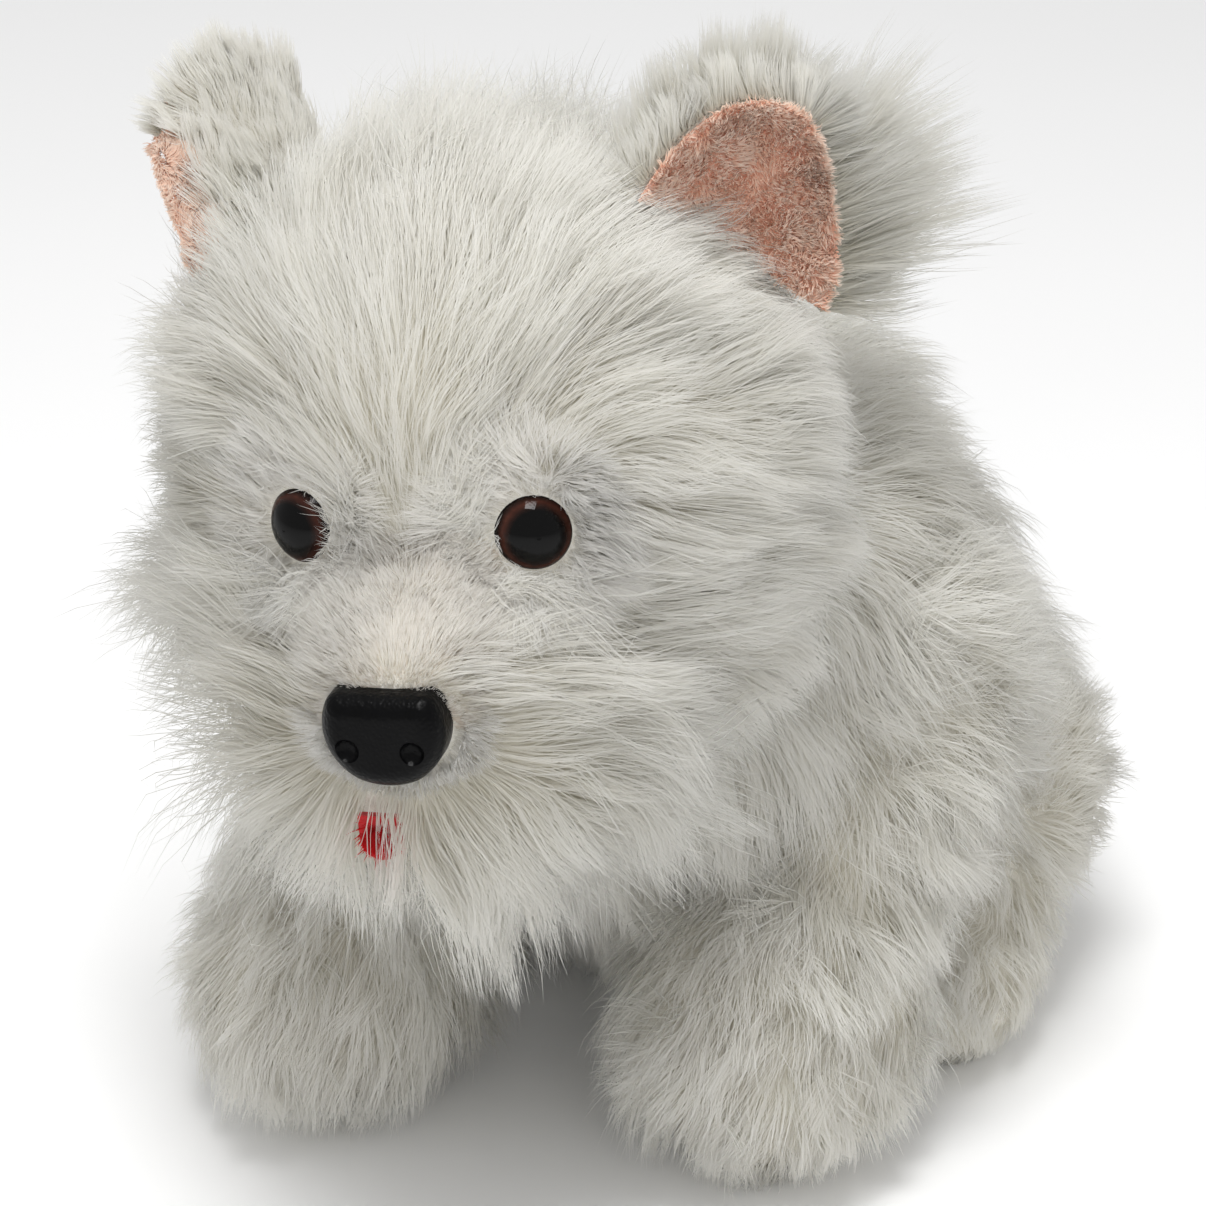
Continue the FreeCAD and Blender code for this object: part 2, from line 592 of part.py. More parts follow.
def ear(doc, side, sign):
    frame = ear_place(doc, sign)
    flap = body(doc, f"{side}_ear_back", frame)
    shape = sketch(flap, f"{side}_ear_shape", lift=number(doc, "Sizes.ear_seam - Sizes.ear_back_thick"))
    ear_outline(doc, shape, "0", "0")
    pad(flap, f"{side}_ear_pad", shape, "Sizes.ear_back_thick")
    root = sketch(flap, f"{side}_ear_root_sketch", "YZ_Plane")
    circle(doc, root, "Sizes.ear_root")
    pad(flap, f"{side}_ear_root", root, "Sizes.ear_width", symmetric=True)
    lining = body(doc, f"{side}_ear_lining", frame)
    inset = sketch(lining, f"{side}_ear_lining_shape", lift=number(doc, "Sizes.ear_seam"))
    ear_outline(doc, inset, "Sizes.ear_margin", "Sizes.ear_root + 0.5")
    pad(lining, f"{side}_ear_lining_pad", inset, "Sizes.ear_lining_thick")
    return {f"{side}_ear_back": flap, f"{side}_ear_lining": lining}


# ---------------------------------------------------------------- legs and tail

def limb_parts(doc, name, outer, inner, room, middle):
    """An outer and an inner fur panel over stuffing, parted at the plane x = middle."""
    sign = LEFT if name.startswith("left") else RIGHT
    ground = block(doc, f"{name}_above", (f"-{FAR}", f"-{FAR}", "0"), (FAR, FAR, FAR))
    whole = common(doc, f"{name}_whole", outer, ground)
    fur = cut(doc, f"{name}_fur", whole, inner, room)
    split = f"{sign} * {middle}"
    far_side = block(doc, f"{name}_far_side", (split if sign == LEFT else f"-{FAR}", f"-{FAR}", "-1"),
                     (FAR if sign == LEFT else split, FAR, FAR))
    return {f"{name}_outer_panel": common(doc, f"{name}_outer_panel", fur, far_side),
            f"{name}_inner_panel": cut(doc, f"{name}_inner_panel", fur, far_side),
            f"{name}_stuffing": cut(doc, f"{name}_stuffing", inner, room)}


def foreleg(doc, side, sign):
    """From the shoulder, on the axis through the chest's centre, down to the paw."""
    name = f"{side}_foreleg"
    shoulder = (f"{sign} * Sizes.shoulder_x", "Sizes.chest_y", "Sizes.chest_z")
    paw = (f"{sign} * Sizes.forepaw_x", f"Sizes.{side}_forepaw_y", "Sizes.forepaw_z")
    forms = []
    for layer, less in (("outside", "0"), ("inside", "Sizes.limb_pile")):
        leg = f"Sizes.foreleg_radius - {less}"
        forms.append(bone(doc, f"{name}_{layer}", shoulder, leg, paw, f"Sizes.forepaw_radius - {less}", leg))
    room = ball(doc, f"{name}_room", "Sizes.chest_radius + Sizes.gap", CHEST)
    return limb_parts(doc, name, *forms, room, "Sizes.shoulder_x")


def hind_leg(doc, side, sign):
    """Folded as the dog sits: the thigh against the rump and the foot forward on the ground."""
    name = f"{side}_hind_leg"
    thigh = (f"{sign} * Sizes.thigh_x", "Sizes.thigh_y", "Sizes.thigh_z")
    foot = (f"{sign} * Sizes.foot_x", "Sizes.foot_y", "Sizes.foot_z")
    forms = []
    for layer, less in (("outside", "0"), ("inside", "Sizes.limb_pile")):
        toe = f"Sizes.foot_radius - {less}"
        forms.append(bone(doc, f"{name}_{layer}", thigh, f"Sizes.thigh_radius - {less}", foot, toe, toe))
    room = ball(doc, f"{name}_room", "Sizes.rump_radius + Sizes.gap", RUMP)
    return limb_parts(doc, name, *forms, room, "Sizes.foot_x")


def tail_root():
    """The middle of the tail's rounded root, just outside the back of the rump."""
    reach = "(Sizes.rump_radius + Sizes.tail_out)"
    return ("0", f"Sizes.rump_y + {reach} * cos(Sizes.tail_rise)",
            f"Sizes.rump_z + {reach} * sin(Sizes.tail_rise)")


def tail_tip():
    reach = "(Sizes.rump_radius + Sizes.tail_out + Sizes.tail_length)"
    return ("0", f"Sizes.rump_y + {reach} * cos(Sizes.tail_rise)",
            f"Sizes.rump_z + {reach} * sin(Sizes.tail_rise)")


def tail(doc):
    forms = []
    for layer, less in (("outside", "0"), ("inside", "Sizes.tail_pile")):
        forms.append(bone(doc, f"tail_{layer}", tail_root(), f"Sizes.tail_radius - {less}",
                          tail_tip(), f"Sizes.tail_tip_radius - {less}", f"Sizes.tail_tip_radius - {less}"))
    cover = cut(doc, "tail_cover", *forms)
    stuffing = common(doc, "tail_stuffing", forms[1])
    return {"tail_cover": cover, "tail_stuffing": stuffing}


# ---------------------------------------------------------------- the whole dog

def build(doc):
    """All sub-parts, by name.  Those of the head are carried to the head's place."""
    parts = {**torso(doc), **neck(doc), **tail(doc)}
    head = {**head_panels(doc), **nose(doc), **tongue(doc)}
    for side, sign in SIDES:
        head.update(eye(doc, side, sign))
        head.update(ear(doc, side, sign))
        parts.update(foreleg(doc, side, sign))
        parts.update(hind_leg(doc, side, sign))
    doc.recompute()
    frame = head_place(doc)
    for solid in head.values():
        solid.Placement = frame.multiply(solid.Placement)
    parts.update(head)
    for name, solid in parts.items():
        solid.Label = name
    doc.recompute()
    return parts


def check(doc, parts):
    for item in doc.Objects:
        if {"Invalid", "Error"} & set(item.State):
            raise RuntimeError(f"{item.Name} failed: {item.State}")
    for name, solid in parts.items():
        shape = solid.Shape
        if shape.isNull() or not shape.isValid() or not shape.Solids:
            raise RuntimeError(f"{name} isn't a valid solid")


def main():
    doc = FreeCAD.newDocument("plush_dog")
    make_sheet(doc)
    parts = build(doc)
    check(doc, parts)
    os.makedirs("parts", exist_ok=True)
    for name, solid in sorted(parts.items()):
        solid.Shape.exportStep(f"parts/{name}.step")
        box = solid.Shape.BoundBox
        print(f"{name:30s} {len(solid.Shape.Solids)} solid {solid.Shape.Volume / 1000:8.2f} cm3"
              f"  x {box.XMin:7.1f} {box.XMax:7.1f}  y {box.YMin:7.1f} {box.YMax:7.1f}"
              f"  z {box.ZMin:7.1f} {box.ZMax:7.1f}")


main()
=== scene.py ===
import json
import math

import bpy
import numpy as np
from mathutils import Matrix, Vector
from mathutils.kdtree import KDTree


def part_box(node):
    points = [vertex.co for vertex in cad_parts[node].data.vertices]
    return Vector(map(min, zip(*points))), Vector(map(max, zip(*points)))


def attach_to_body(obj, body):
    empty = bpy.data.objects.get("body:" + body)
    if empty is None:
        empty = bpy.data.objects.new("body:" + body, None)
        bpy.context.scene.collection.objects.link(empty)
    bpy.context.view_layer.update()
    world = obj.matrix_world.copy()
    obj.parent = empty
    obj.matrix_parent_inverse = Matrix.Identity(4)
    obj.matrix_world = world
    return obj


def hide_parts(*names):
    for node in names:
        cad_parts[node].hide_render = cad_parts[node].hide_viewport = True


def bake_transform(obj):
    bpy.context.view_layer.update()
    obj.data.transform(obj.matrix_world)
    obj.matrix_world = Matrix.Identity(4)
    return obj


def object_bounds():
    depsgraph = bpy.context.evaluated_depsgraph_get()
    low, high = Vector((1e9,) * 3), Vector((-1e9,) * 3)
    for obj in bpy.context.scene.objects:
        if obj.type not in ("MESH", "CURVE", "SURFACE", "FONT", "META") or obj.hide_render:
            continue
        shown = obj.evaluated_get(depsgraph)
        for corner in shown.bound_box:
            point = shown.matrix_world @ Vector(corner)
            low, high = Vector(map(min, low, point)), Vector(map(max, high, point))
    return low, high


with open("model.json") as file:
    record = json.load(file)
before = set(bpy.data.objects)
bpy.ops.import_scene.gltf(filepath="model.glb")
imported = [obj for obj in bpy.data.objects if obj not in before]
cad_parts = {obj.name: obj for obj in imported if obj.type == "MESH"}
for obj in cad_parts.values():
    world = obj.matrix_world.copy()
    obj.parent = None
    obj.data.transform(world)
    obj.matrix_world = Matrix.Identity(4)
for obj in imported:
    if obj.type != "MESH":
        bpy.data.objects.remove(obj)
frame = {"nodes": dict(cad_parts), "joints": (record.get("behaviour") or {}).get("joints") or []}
CAD_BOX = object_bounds()

# A seated plush dog of long white fur.  Under the fur, each stuffed part has a smooth skin, described by
# a Form: balls, ellipsoids and limbs that run into each other.  The fur is real geometry: thin tapering
# strands that grow out of the skin, follow a combing direction and gather into wisps.
# Lengths are in metres; sizes written in millimetres are multiplied by MM.

MM = 0.001
LEFT, RIGHT = 1, -1
SIDES = (("left", LEFT), ("right", RIGHT))
STEPS = 5                       # stretches along a strand
SHARE = 1.0
MOST_STRANDS = 17500            # in one piece, so that its mesh stays a workable size
TONGUE_STRANDS = 700
RIM_STRANDS = 5200              # round the rim of an ear, and as many over its rolled hem
THROUGH_SHARE = 0.60            # share of the light that passes through a fibre
OWN_NORMAL = 0.22               # how far a strand is shaded by its own direction, not the skin's
FLOOR_CLEAR = 0.4 * MM          # least height of a strand over the floor
EYE_RADIUS = 7.5
EYE_YAW, EYE_RISE = math.radians(26), math.radians(5.6)
EYE_PLACE = np.array([24.0, -49.0, 6.0])        # the left eye, in the head's frame in millimetres
HALF_GUSSET = 13                # half the width of the forehead gusset
HEM_WIDTH = 0.22                # of the rolled strip, as a share of half the ear
HEM_TOP = 0.84                  # where it ends, as a share of the ear's height
DOWN = np.array([0.0, 0.0, -1.0])
RNG = np.random.default_rng(7)  # every strand's chance comes from this one stream, in a fixed order
JOINTS = {joint["name"]: joint for joint in frame["joints"]}


def place_of(joint):
    return np.array(JOINTS[joint]["pos_m"], float)


SKULL = place_of("head_turn")
CHEST = place_of("left_foreleg_swing") * [0, 1, 1]
RUMP = place_of("left_hind_leg_swing") * [0, 1, 1]
TAIL = place_of("tail_wag")
HEAD_ROLL = math.radians(-5)
NOD_AXIS = JOINTS["head_nod"]["axis"]
HEAD_TURN = math.atan2(NOD_AXIS[1], NOD_AXIS[0])


# ---- small geometry

def vectors(x, y, z):
    """Coordinates, each a number or an array, as an array of vectors."""
    return np.stack(np.broadcast_arrays(x, y, z), -1)


def unit(arrows):
    return arrows / np.maximum(np.linalg.norm(arrows, axis=-1, keepdims=True), 1e-12)


def along_skin(arrows, outward):
    return arrows - outward * (arrows * outward).sum(-1, keepdims=True)


def turn_z(angle):
    c, s = math.cos(angle), math.sin(angle)
    return np.array([[c, -s, 0], [s, c, 0], [0, 0, 1]])


def turn_y(angle):
    c, s = math.cos(angle), math.sin(angle)
    return np.array([[c, 0, s], [0, 1, 0], [-s, 0, c]])


HEAD = turn_z(HEAD_TURN) @ turn_y(HEAD_ROLL)      # columns: the head's left, back and up


def in_head(points, centre=SKULL):
    """Points of the row frame, seen from a centre along the head's own axes, in millimetres."""
    return ((points - centre) @ HEAD) / MM


def from_head(x, y, z):
    """A point given in the head's frame in millimetres, in the row frame."""
    return SKULL + HEAD @ (np.array([x, y, z]) * MM)


def step_up(values, start, end):
    """0 before start, 1 after end and smooth between them; start may be the larger."""
    share = np.clip((values - start) / (end - start), 0, 1)
    return share * share * (3 - 2 * share)


def near_spot(local, spot, reach):
    """1 at a spot, and fading to 0 beyond its reach along each axis."""
    return np.exp(-(np.linalg.norm((local - spot) / reach, axis=1)) ** 2)


def box_middle(name):
    low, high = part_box(name)
    return np.array((low + high) / 2)


def boxes(*names):
    """The low and high corners of the box round several CAD pieces."""
    corners = np.array([[tuple(corner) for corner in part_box(name)] for name in names])
    return corners[:, 0].min(0), corners[:, 1].max(0)


def eye_axis(sign):
    flat = math.cos(EYE_RISE)
    return HEAD @ np.array([sign * math.sin(EYE_YAW) * flat, -math.cos(EYE_YAW) * flat, math.sin(EYE_RISE)])


def beside_axis(points, centre, axis):
    """How far points lie along an axis from a centre, and their offset across it."""
    offset = points - centre
    along = offset @ axis
    return along, offset - along[:, None] * axis


# ---- forms

class Form:
    """A soft solid: primitives that run into each other over a blending width."""

    def __init__(self, *primitives, blend=10 * MM):
        self.primitives = primitives
        self.blend = blend

    def distance(self, points):
        total = None
        for primitive in self.primitives:
            value = primitive(points)
            if total is None:
                total = value
                continue
            near = np.maximum(self.blend - np.abs(total - value), 0) / self.blend
            total = np.minimum(total, value) - near * near * self.blend / 4
        return total

    def outward(self, points, reach=0.5 * MM):
        """The unit direction away from the skin."""
        corners = np.array([[1, -1, -1], [-1, -1, 1], [-1, 1, -1], [1, 1, 1]], float)
        slope = sum(corner * self.distance(points + corner * reach)[..., None] for corner in corners)
        return unit(slope)


def ellipsoid(centre, radii, turn=np.eye(3)):
    radii = np.array(radii) * MM

    def distance(points):
        local = (points - centre) @ turn
        first = np.linalg.norm(local / radii, axis=-1)
        second = np.linalg.norm(local / radii ** 2, axis=-1)
        return first * (first - 1) / np.maximum(second, 1e-9)
    return distance


def limb(start, start_radius, end, end_radius):
    """A straight limb between two points, with a radius in millimetres at each."""
    along = end - start

    def distance(points):
        share = np.clip((points - start) @ along / (along @ along), 0, 1)
        nearest = start + share[..., None] * along
        radius = (start_radius + (end_radius - start_radius) * share) * MM
        return np.linalg.norm(points - nearest, axis=-1) - radius
    return distance


def head_form():
    return Form(ellipsoid(from_head(0, 1, 0), (59, 52.5, 56), HEAD),
                ellipsoid(from_head(0, -43, -30), (31, 27.5, 26), HEAD),
                ellipsoid(from_head(0, -56, -17), (15, 15, 11), HEAD), blend=13 * MM)


def torso_form():
    return Form(ellipsoid(RUMP, (58, 58, 56)), ellipsoid(CHEST, (59, 59, 60)),
                limb(RUMP, 50, CHEST, 51), blend=16 * MM)


def foreleg_form(sign, side):
    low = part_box(f"{side}_foreleg_outer_panel")[0]
    paw = np.array([sign * 46 * MM, low.y + 30 * MM, 29 * MM])
    shoulder = place_of(f"{side}_foreleg_swing")
    return Form(limb(shoulder, 22, paw, 20), ellipsoid(paw, (24, 28, 26)), blend=14 * MM)


def hind_leg_form(sign, side):
    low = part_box(f"{side}_hind_leg_outer_panel")[0]
    foot = np.array([sign * 57 * MM, low.y + 20 * MM, 19 * MM])
    thigh = place_of(f"{side}_hind_leg_swing") + np.array([sign * 2, 4, 2]) * MM
    return Form(ellipsoid(thigh, (27, 30, 31)), limb(thigh, 20, foot, 17),
                ellipsoid(foot, (17, 22, 17)), blend=14 * MM)


def tail_form():
    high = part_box("tail_cover")[1]
    tip = np.array([0, high.y - 10 * MM, high.z - 11 * MM])
    return Form(limb(TAIL, 9, tip, 7))


def neck_form():
    return Form(limb(CHEST + (SKULL - CHEST) * 0.35, 44, CHEST + (SKULL - CHEST) * 0.85, 46))


# ---- materials

def new_material(name, roughness, **sockets):
    material = bpy.data.materials.new(name)
    material.use_nodes = True
    shader = material.node_tree.nodes["Principled BSDF"]
    shader.inputs["Roughness"].default_value = roughness
    for socket, value in sockets.items():
        shader.inputs[socket.replace("_", " ")].default_value = value
    return material, material.node_tree, shader


def put(tree, socket, value):
    """Sets a socket's value, or links another socket to it."""
    if isinstance(value, bpy.types.NodeSocket):
        tree.links.new(value, socket)
    else:
        socket.default_value = value


def node(tree, kind, values=None, **properties):
    made = tree.nodes.new(kind)
    for key, value in properties.items():
        setattr(made, key, value)
    for key, value in (values or {}).items():
        put(tree, made.inputs[key], value)
    return made


def ramp(tree, source, stops):
    """A colour ramp fed by a value, with stops of (position, colour)."""
    made = node(tree, "ShaderNodeValToRGB", {"Fac": source})
    elements = made.color_ramp.elements
    while len(elements) < len(stops):
        elements.new(0.5)
    for element, (position, colour) in zip(elements, stops):
        element.position = position
        element.color = (*colour, 1)
    return made.outputs["Color"]


def mixed(tree, share, first, second):
    """A colour multiplied by a share of another."""
    return node(tree, "ShaderNodeMix", {"Factor": share, 6: first, 7: second}, data_type="RGBA",
                blend_type="MULTIPLY").outputs[2]


def strand_material(name, root, middle, tip, tones, through=THROUGH_SHARE):
    """Pile: coloured along each strand from root to tip, with a tone of its own for each strand.  Darker
    towards the root, partly for the pile's own tint and partly as painted shade deep in the pile.  The UV
    map holds the strand's tone across and the way along it up."""
    material, tree, shader = new_material(name, 0.55, Sheen_Weight=0.25, Sheen_Roughness=0.4,
                                          Specular_IOR_Level=0.35)
    place = node(tree, "ShaderNodeUVMap", uv_map="OFBake").outputs["UV"]
    split = node(tree, "ShaderNodeSeparateXYZ", {"Vector": place})
    # darker towards the root: partly the pile's own tint, partly painted shade deep in the pile
    tint_and_root_shade = ramp(tree, split.outputs["Y"], ((0.0, root), (0.45, middle), (1.0, tip)))
    grain = node(tree, "ShaderNodeTexNoise", {"Vector": place, "Scale": 38.0, "Detail": 2.0})
    speckle = node(tree, "ShaderNodeMath", {0: grain.outputs["Fac"], 1: 0.35, 2: split.outputs["X"]},
                   operation="MULTIPLY_ADD")
    tone = ramp(tree, speckle.outputs["Value"], tuple((0.1 + 0.3 * i, c) for i, c in enumerate(tones)))
    colour = mixed(tree, 1.0, tint_and_root_shade, tone)
    put(tree, shader.inputs["Base Color"], colour)
    passed = node(tree, "ShaderNodeBsdfTranslucent", {"Color": colour})
    both = node(tree, "ShaderNodeMixShader",
                {"Fac": through, 1: shader.outputs["BSDF"], 2: passed.outputs["BSDF"]})
    put(tree, tree.nodes["Material Output"].inputs["Surface"], both.outputs["Shader"])
    return material


def backing_material(name, light, dark, scale):
    """Knitted backing under the pile: a fine mottled cloth."""
    material, tree, shader = new_material(name, 0.9, Sheen_Weight=0.2)
    place = node(tree, "ShaderNodeTexCoord").outputs["Object"]
    mottle = node(tree, "ShaderNodeTexNoise",
                  {"Vector": place, "Scale": scale, "Detail": 4.0, "Roughness": 0.7}).outputs["Fac"]
    put(tree, shader.inputs["Base Color"], ramp(tree, mottle, ((0.35, dark), (0.65, light))))
    bump = node(tree, "ShaderNodeBump", {"Strength": 0.6, "Distance": 0.0006, "Height": mottle})
    put(tree, shader.inputs["Normal"], bump.outputs["Normal"])
    return material


def moulded_material(name, colour, roughness, scale, depth):
    """Moulded plastic with a pebbled surface."""
    material, tree, shader = new_material(name, roughness, Specular_IOR_Level=0.10)
    place = node(tree, "ShaderNodeTexCoord").outputs["Object"]
    pebbles = node(tree, "ShaderNodeTexVoronoi", {"Vector": place, "Scale": scale}, feature="SMOOTH_F1")
    grime = node(tree, "ShaderNodeTexNoise", {"Vector": place, "Scale": scale / 6, "Detail": 3.0})
    dull = tuple(part * 1.6 + 0.0005 for part in colour)
    put(tree, shader.inputs["Base Color"], ramp(tree, grime.outputs["Fac"], ((0.35, colour), (0.75, dull))))
    bump = node(tree, "ShaderNodeBump",
                {"Strength": 0.35, "Distance": depth, "Height": pebbles.outputs["Distance"]}, invert=True)
    put(tree, shader.inputs["Normal"], bump.outputs["Normal"])
    return material


def eye_material(name, centre, axis):
    """A safety eye: a black pupil in a brown iris with fine rays, under a clear gloss."""
    material, tree, shader = new_material(name, 0.4, Coat_Weight=0.5, Coat_Roughness=0.015, Coat_IOR=1.4,
                                          Specular_IOR_Level=0.0)
    place = node(tree, "ShaderNodeTexCoord").outputs["Object"]
    offset = node(tree, "ShaderNodeVectorMath", {0: place, 1: centre}, operation="SUBTRACT")
    across = node(tree, "ShaderNodeVectorMath", {0: offset.outputs["Vector"], 1: axis},
                  operation="CROSS_PRODUCT").outputs["Vector"]
    radius = node(tree, "ShaderNodeVectorMath", {0: across}, operation="LENGTH")
    rays = node(tree, "ShaderNodeTexNoise", {"Vector": across, "Scale": 900.0, "Detail": 3.0})
    share = node(tree, "ShaderNodeMath", {0: radius.outputs["Value"], 1: 1 / (EYE_RADIUS * MM)},
                 operation="MULTIPLY")
    black, deep, brown = (0.001,) * 3, (0.016, 0.006, 0.004), (0.060, 0.018, 0.011)
    iris = ramp(tree, share.outputs["Value"],
                ((0.64, black), (0.72, deep), (0.82, brown), (0.90, deep), (0.97, black)))
    grain = ramp(tree, rays.outputs["Fac"], ((0.3, (0.55, 0.5, 0.5)), (0.7, (1.0, 1.0, 1.0))))
    put(tree, shader.inputs["Base Color"], mixed(tree, 0.8, iris, grain))
    return material


# ---- skins

def add_object(name, data):
    made = bpy.data.objects.new(name, data)
    bpy.context.scene.collection.objects.link(made)
    return made


def shade_smooth(mesh):
    mesh.polygons.foreach_set("use_smooth", np.ones(len(mesh.polygons), bool))


def coordinates(mesh):
    points = np.zeros(len(mesh.vertices) * 3)
    mesh.vertices.foreach_get("co", points)
    return points.reshape(-1, 3)


def skin(name, form, low, high, material, pitch=4 * MM):
    """A smooth closed mesh on the form's surface: a fine ball is voxel remeshed in the form's box and
    drawn onto the form, so that its faces are even."""
    bpy.ops.mesh.primitive_ico_sphere_add(subdivisions=5, radius=1.0)
    made = bpy.context.object
    made.name = made.data.name = name
    points = coordinates(made.data)
    middle, half = (low + high) / 2, (high - low) / 2
    points = middle + points * half * 1.3
    for _ in range(60):
        points = draw_on(form, points, 0.5)
    for _ in range(6):
        points = draw_on(form, points, 1.0)
    made.data.vertices.foreach_set("co", points.ravel())
    made.data.update()
    remesh = made.modifiers.new("even", "REMESH")
    remesh.mode = "VOXEL"
    remesh.voxel_size = pitch
    apply_modifiers(made)
    points = coordinates(made.data)
    for _ in range(4):
        points = draw_on(form, points, 1.0)
    points[:, 2] = np.maximum(points[:, 2], FLOOR_CLEAR / 2)
    made.data.vertices.foreach_set("co", points.ravel())
    shade_smooth(made.data)
    made.data.update()
    made.data.materials.append(material)
    return made


def draw_on(form, points, share):
    """Points moved towards the form's surface."""
    return points - form.outward(points) * (form.distance(points) * share)[:, None]


def apply_modifiers(made):
    shown = made.evaluated_get(bpy.context.evaluated_depsgraph_get())
    mesh = bpy.data.meshes.new_from_object(shown)
    made.modifiers.clear()
    made.data = mesh


# ---- growing fur

class Pile:
    """How one kind of fur grows: sizes in millimetres, which are kept in metres, and shares."""
    lift = 0.45         # how far a strand stands off the skin at its root
    bend = 0.35         # how fast it turns to the combing direction
    droop = 0.1         # pull of gravity
    curl = 0.12         # waviness
    wisp = 3.0          # size of a wisp
    lock = 11.0         # size of a lock of wisps
    clump = 0.5         # how far a wisp closes at its tip
    lump = 0.45         # how far a lock closes at its tip
    scatter = 0.28      # how far locks part from the combing direction
    stray = 0.12        # how far single strands do
    twist = 0.45        # how far a strand turns about its length
    room = 0.5          # least height over the skin

    def __init__(self, density, width, **others):
        self.density = density          # strands on a square millimetre
        self.width = width
        for name, value in others.items():
            setattr(self, name, value)
        for size in ("width", "wisp", "lock", "room"):
            setattr(self, size, getattr(self, size) * MM)


def scatter_roots(made, density):
    """Random points on a mesh's faces, so many on a square millimetre."""
    mesh = made.data
    mesh.calc_loop_triangles()
    corners = np.zeros(len(mesh.loop_triangles) * 3, int)
    mesh.loop_triangles.foreach_get("vertices", corners)
    corner = coordinates(mesh)[corners.reshape(-1, 3)]
    normal = np.cross(corner[:, 1] - corner[:, 0], corner[:, 2] - corner[:, 0])
    area = np.linalg.norm(normal, axis=1) / 2
    count = int(area.sum() / MM ** 2 * density * SHARE)
    face = RNG.choice(len(area), count, p=area / area.sum())
    a, b = RNG.random((2, count))
    fold = a + b > 1
    a[fold], b[fold] = 1 - a[fold], 1 - b[fold]
    return (corner[face, 0] + a[:, None] * (corner[face, 1] - corner[face, 0])
            + b[:, None] * (corner[face, 2] - corner[face, 0]))


def gather(points, spacing):
    """For each point the index of a nearby leader among them, leaders being about so far apart."""
    extent = points.max(0) - points.min(0)
    wanted = max(1, int(2.0 * (extent[0] * extent[1] + extent[1] * extent[2] + extent[0] * extent[2])
                        / spacing ** 2 * 0.8))
    leaders = RNG.permutation(len(points))[:min(wanted, len(points))]
    tree = KDTree(len(leaders))
    for index in leaders:
        tree.insert(points[index], int(index))
    tree.balance()
    return np.array([tree.find(point)[1] for point in points])


def grow(form, roots, length, comb, pile, shunned, shag):
    """The paths of strands, as an array of strand, step and coordinate.  shag, from 0 to 1, is how far
    the pile hangs in curly locks."""
    shag = np.broadcast_to(shag, len(roots))[:, None]
    outward = form.outward(roots)
    wisp = gather(roots, pile.wisp)
    lock = gather(roots, pile.lock)
    noise = RNG.normal(size=(len(roots), 3))
    swell = SWELL(roots)
    astray = (swell * 0.8 + RIPPLE(roots) * 0.5 + noise[wisp] * 0.4) * pile.scatter
    own = RNG.normal(size=noise.shape) * pile.stray
    flat = unit(along_skin(comb(roots), outward) + along_skin(astray, outward) + own)
    rise = pile.lift * (0.75 + 0.5 * RNG.random(len(roots)) + 0.25 * swell[:, 0])[:, None]
    heading = unit(flat * (1 - rise) + outward * rise)
    wave = RIPPLE(roots + 0.05) + noise[wisp] * 0.5
    phase = swell[:, 1] * 3 + RIPPLE(roots)[:, 2]
    stretch = length * (0.82 + 0.36 * RNG.random(len(roots))) / STEPS
    path = [roots]
    for step in range(1, STEPS + 1):
        share = step / STEPS
        here = path[-1] + heading * stretch[:, None]
        off = form.distance(here)
        outward = form.outward(here)
        here = here + outward * np.maximum(pile.room * (0.4 + 2 * share) - off, 0)[:, None]
        for push in shunned:
            here = push(here)
        here[:, 2] = np.maximum(here[:, 2], FLOOR_CLEAR)
        path.append(here)
        flow = along_skin(comb(here), outward) + along_skin(astray, outward) * 0.6
        ripple = wave * np.sin(phase + share * 5)[:, None] * (pile.curl + 0.14 * shag)
        heading = unit(heading + flow * pile.bend + DOWN * (pile.droop + 0.16 * shag) * share + ripple
                       + own * 0.3)
    path = np.stack(path, 1)
    path = close_wisps(path, wisp, pile.clump + 0.25 * shag, 0.3)
    path = close_wisps(path, lock, pile.lump + 0.40 * shag, 0.5)
    path[:, :, 2] = np.maximum(path[:, :, 2], FLOOR_CLEAR)
    return path


class Drift:
    """A smooth random field of directions, with swells of about one size."""

    def __init__(self, size, rng):
        reach = 2 * math.pi / (size * MM) * rng.uniform(0.6, 1.4, (3, 9, 1))
        self.waves = unit(rng.normal(size=(3, 9, 3))) * reach
        self.phases = rng.random((3, 9)) * 2 * math.pi

    def __call__(self, points):
        parts = [np.cos(points @ self.waves[k].T + self.phases[k]).sum(1) for k in range(3)]
        return np.stack(parts, 1) / 2.1


SWELL = Drift(26, np.random.default_rng(3))
RIPPLE = Drift(11, np.random.default_rng(4))
FRAY = Drift(2.2, np.random.default_rng(5))


def close_wisps(path, leader, clump, keep):
    """Strands lean to the leader of their wisp, more towards the tip, and keep a share of their spread."""
    share = np.linspace(0, 1, STEPS + 1)[None, :, None]
    close = (clump * (0.6 + 0.4 * RNG.random((len(path), 1))))[:, :, None] * share ** 0.9
    spread = path[:, :1] - path[leader][:, :1]
    loose = spread * (1 - share * (1 - keep)) + RNG.normal(size=spread.shape) * 0.25 * MM * share
    return path * (1 - close) + (path[leader] + loose) * close


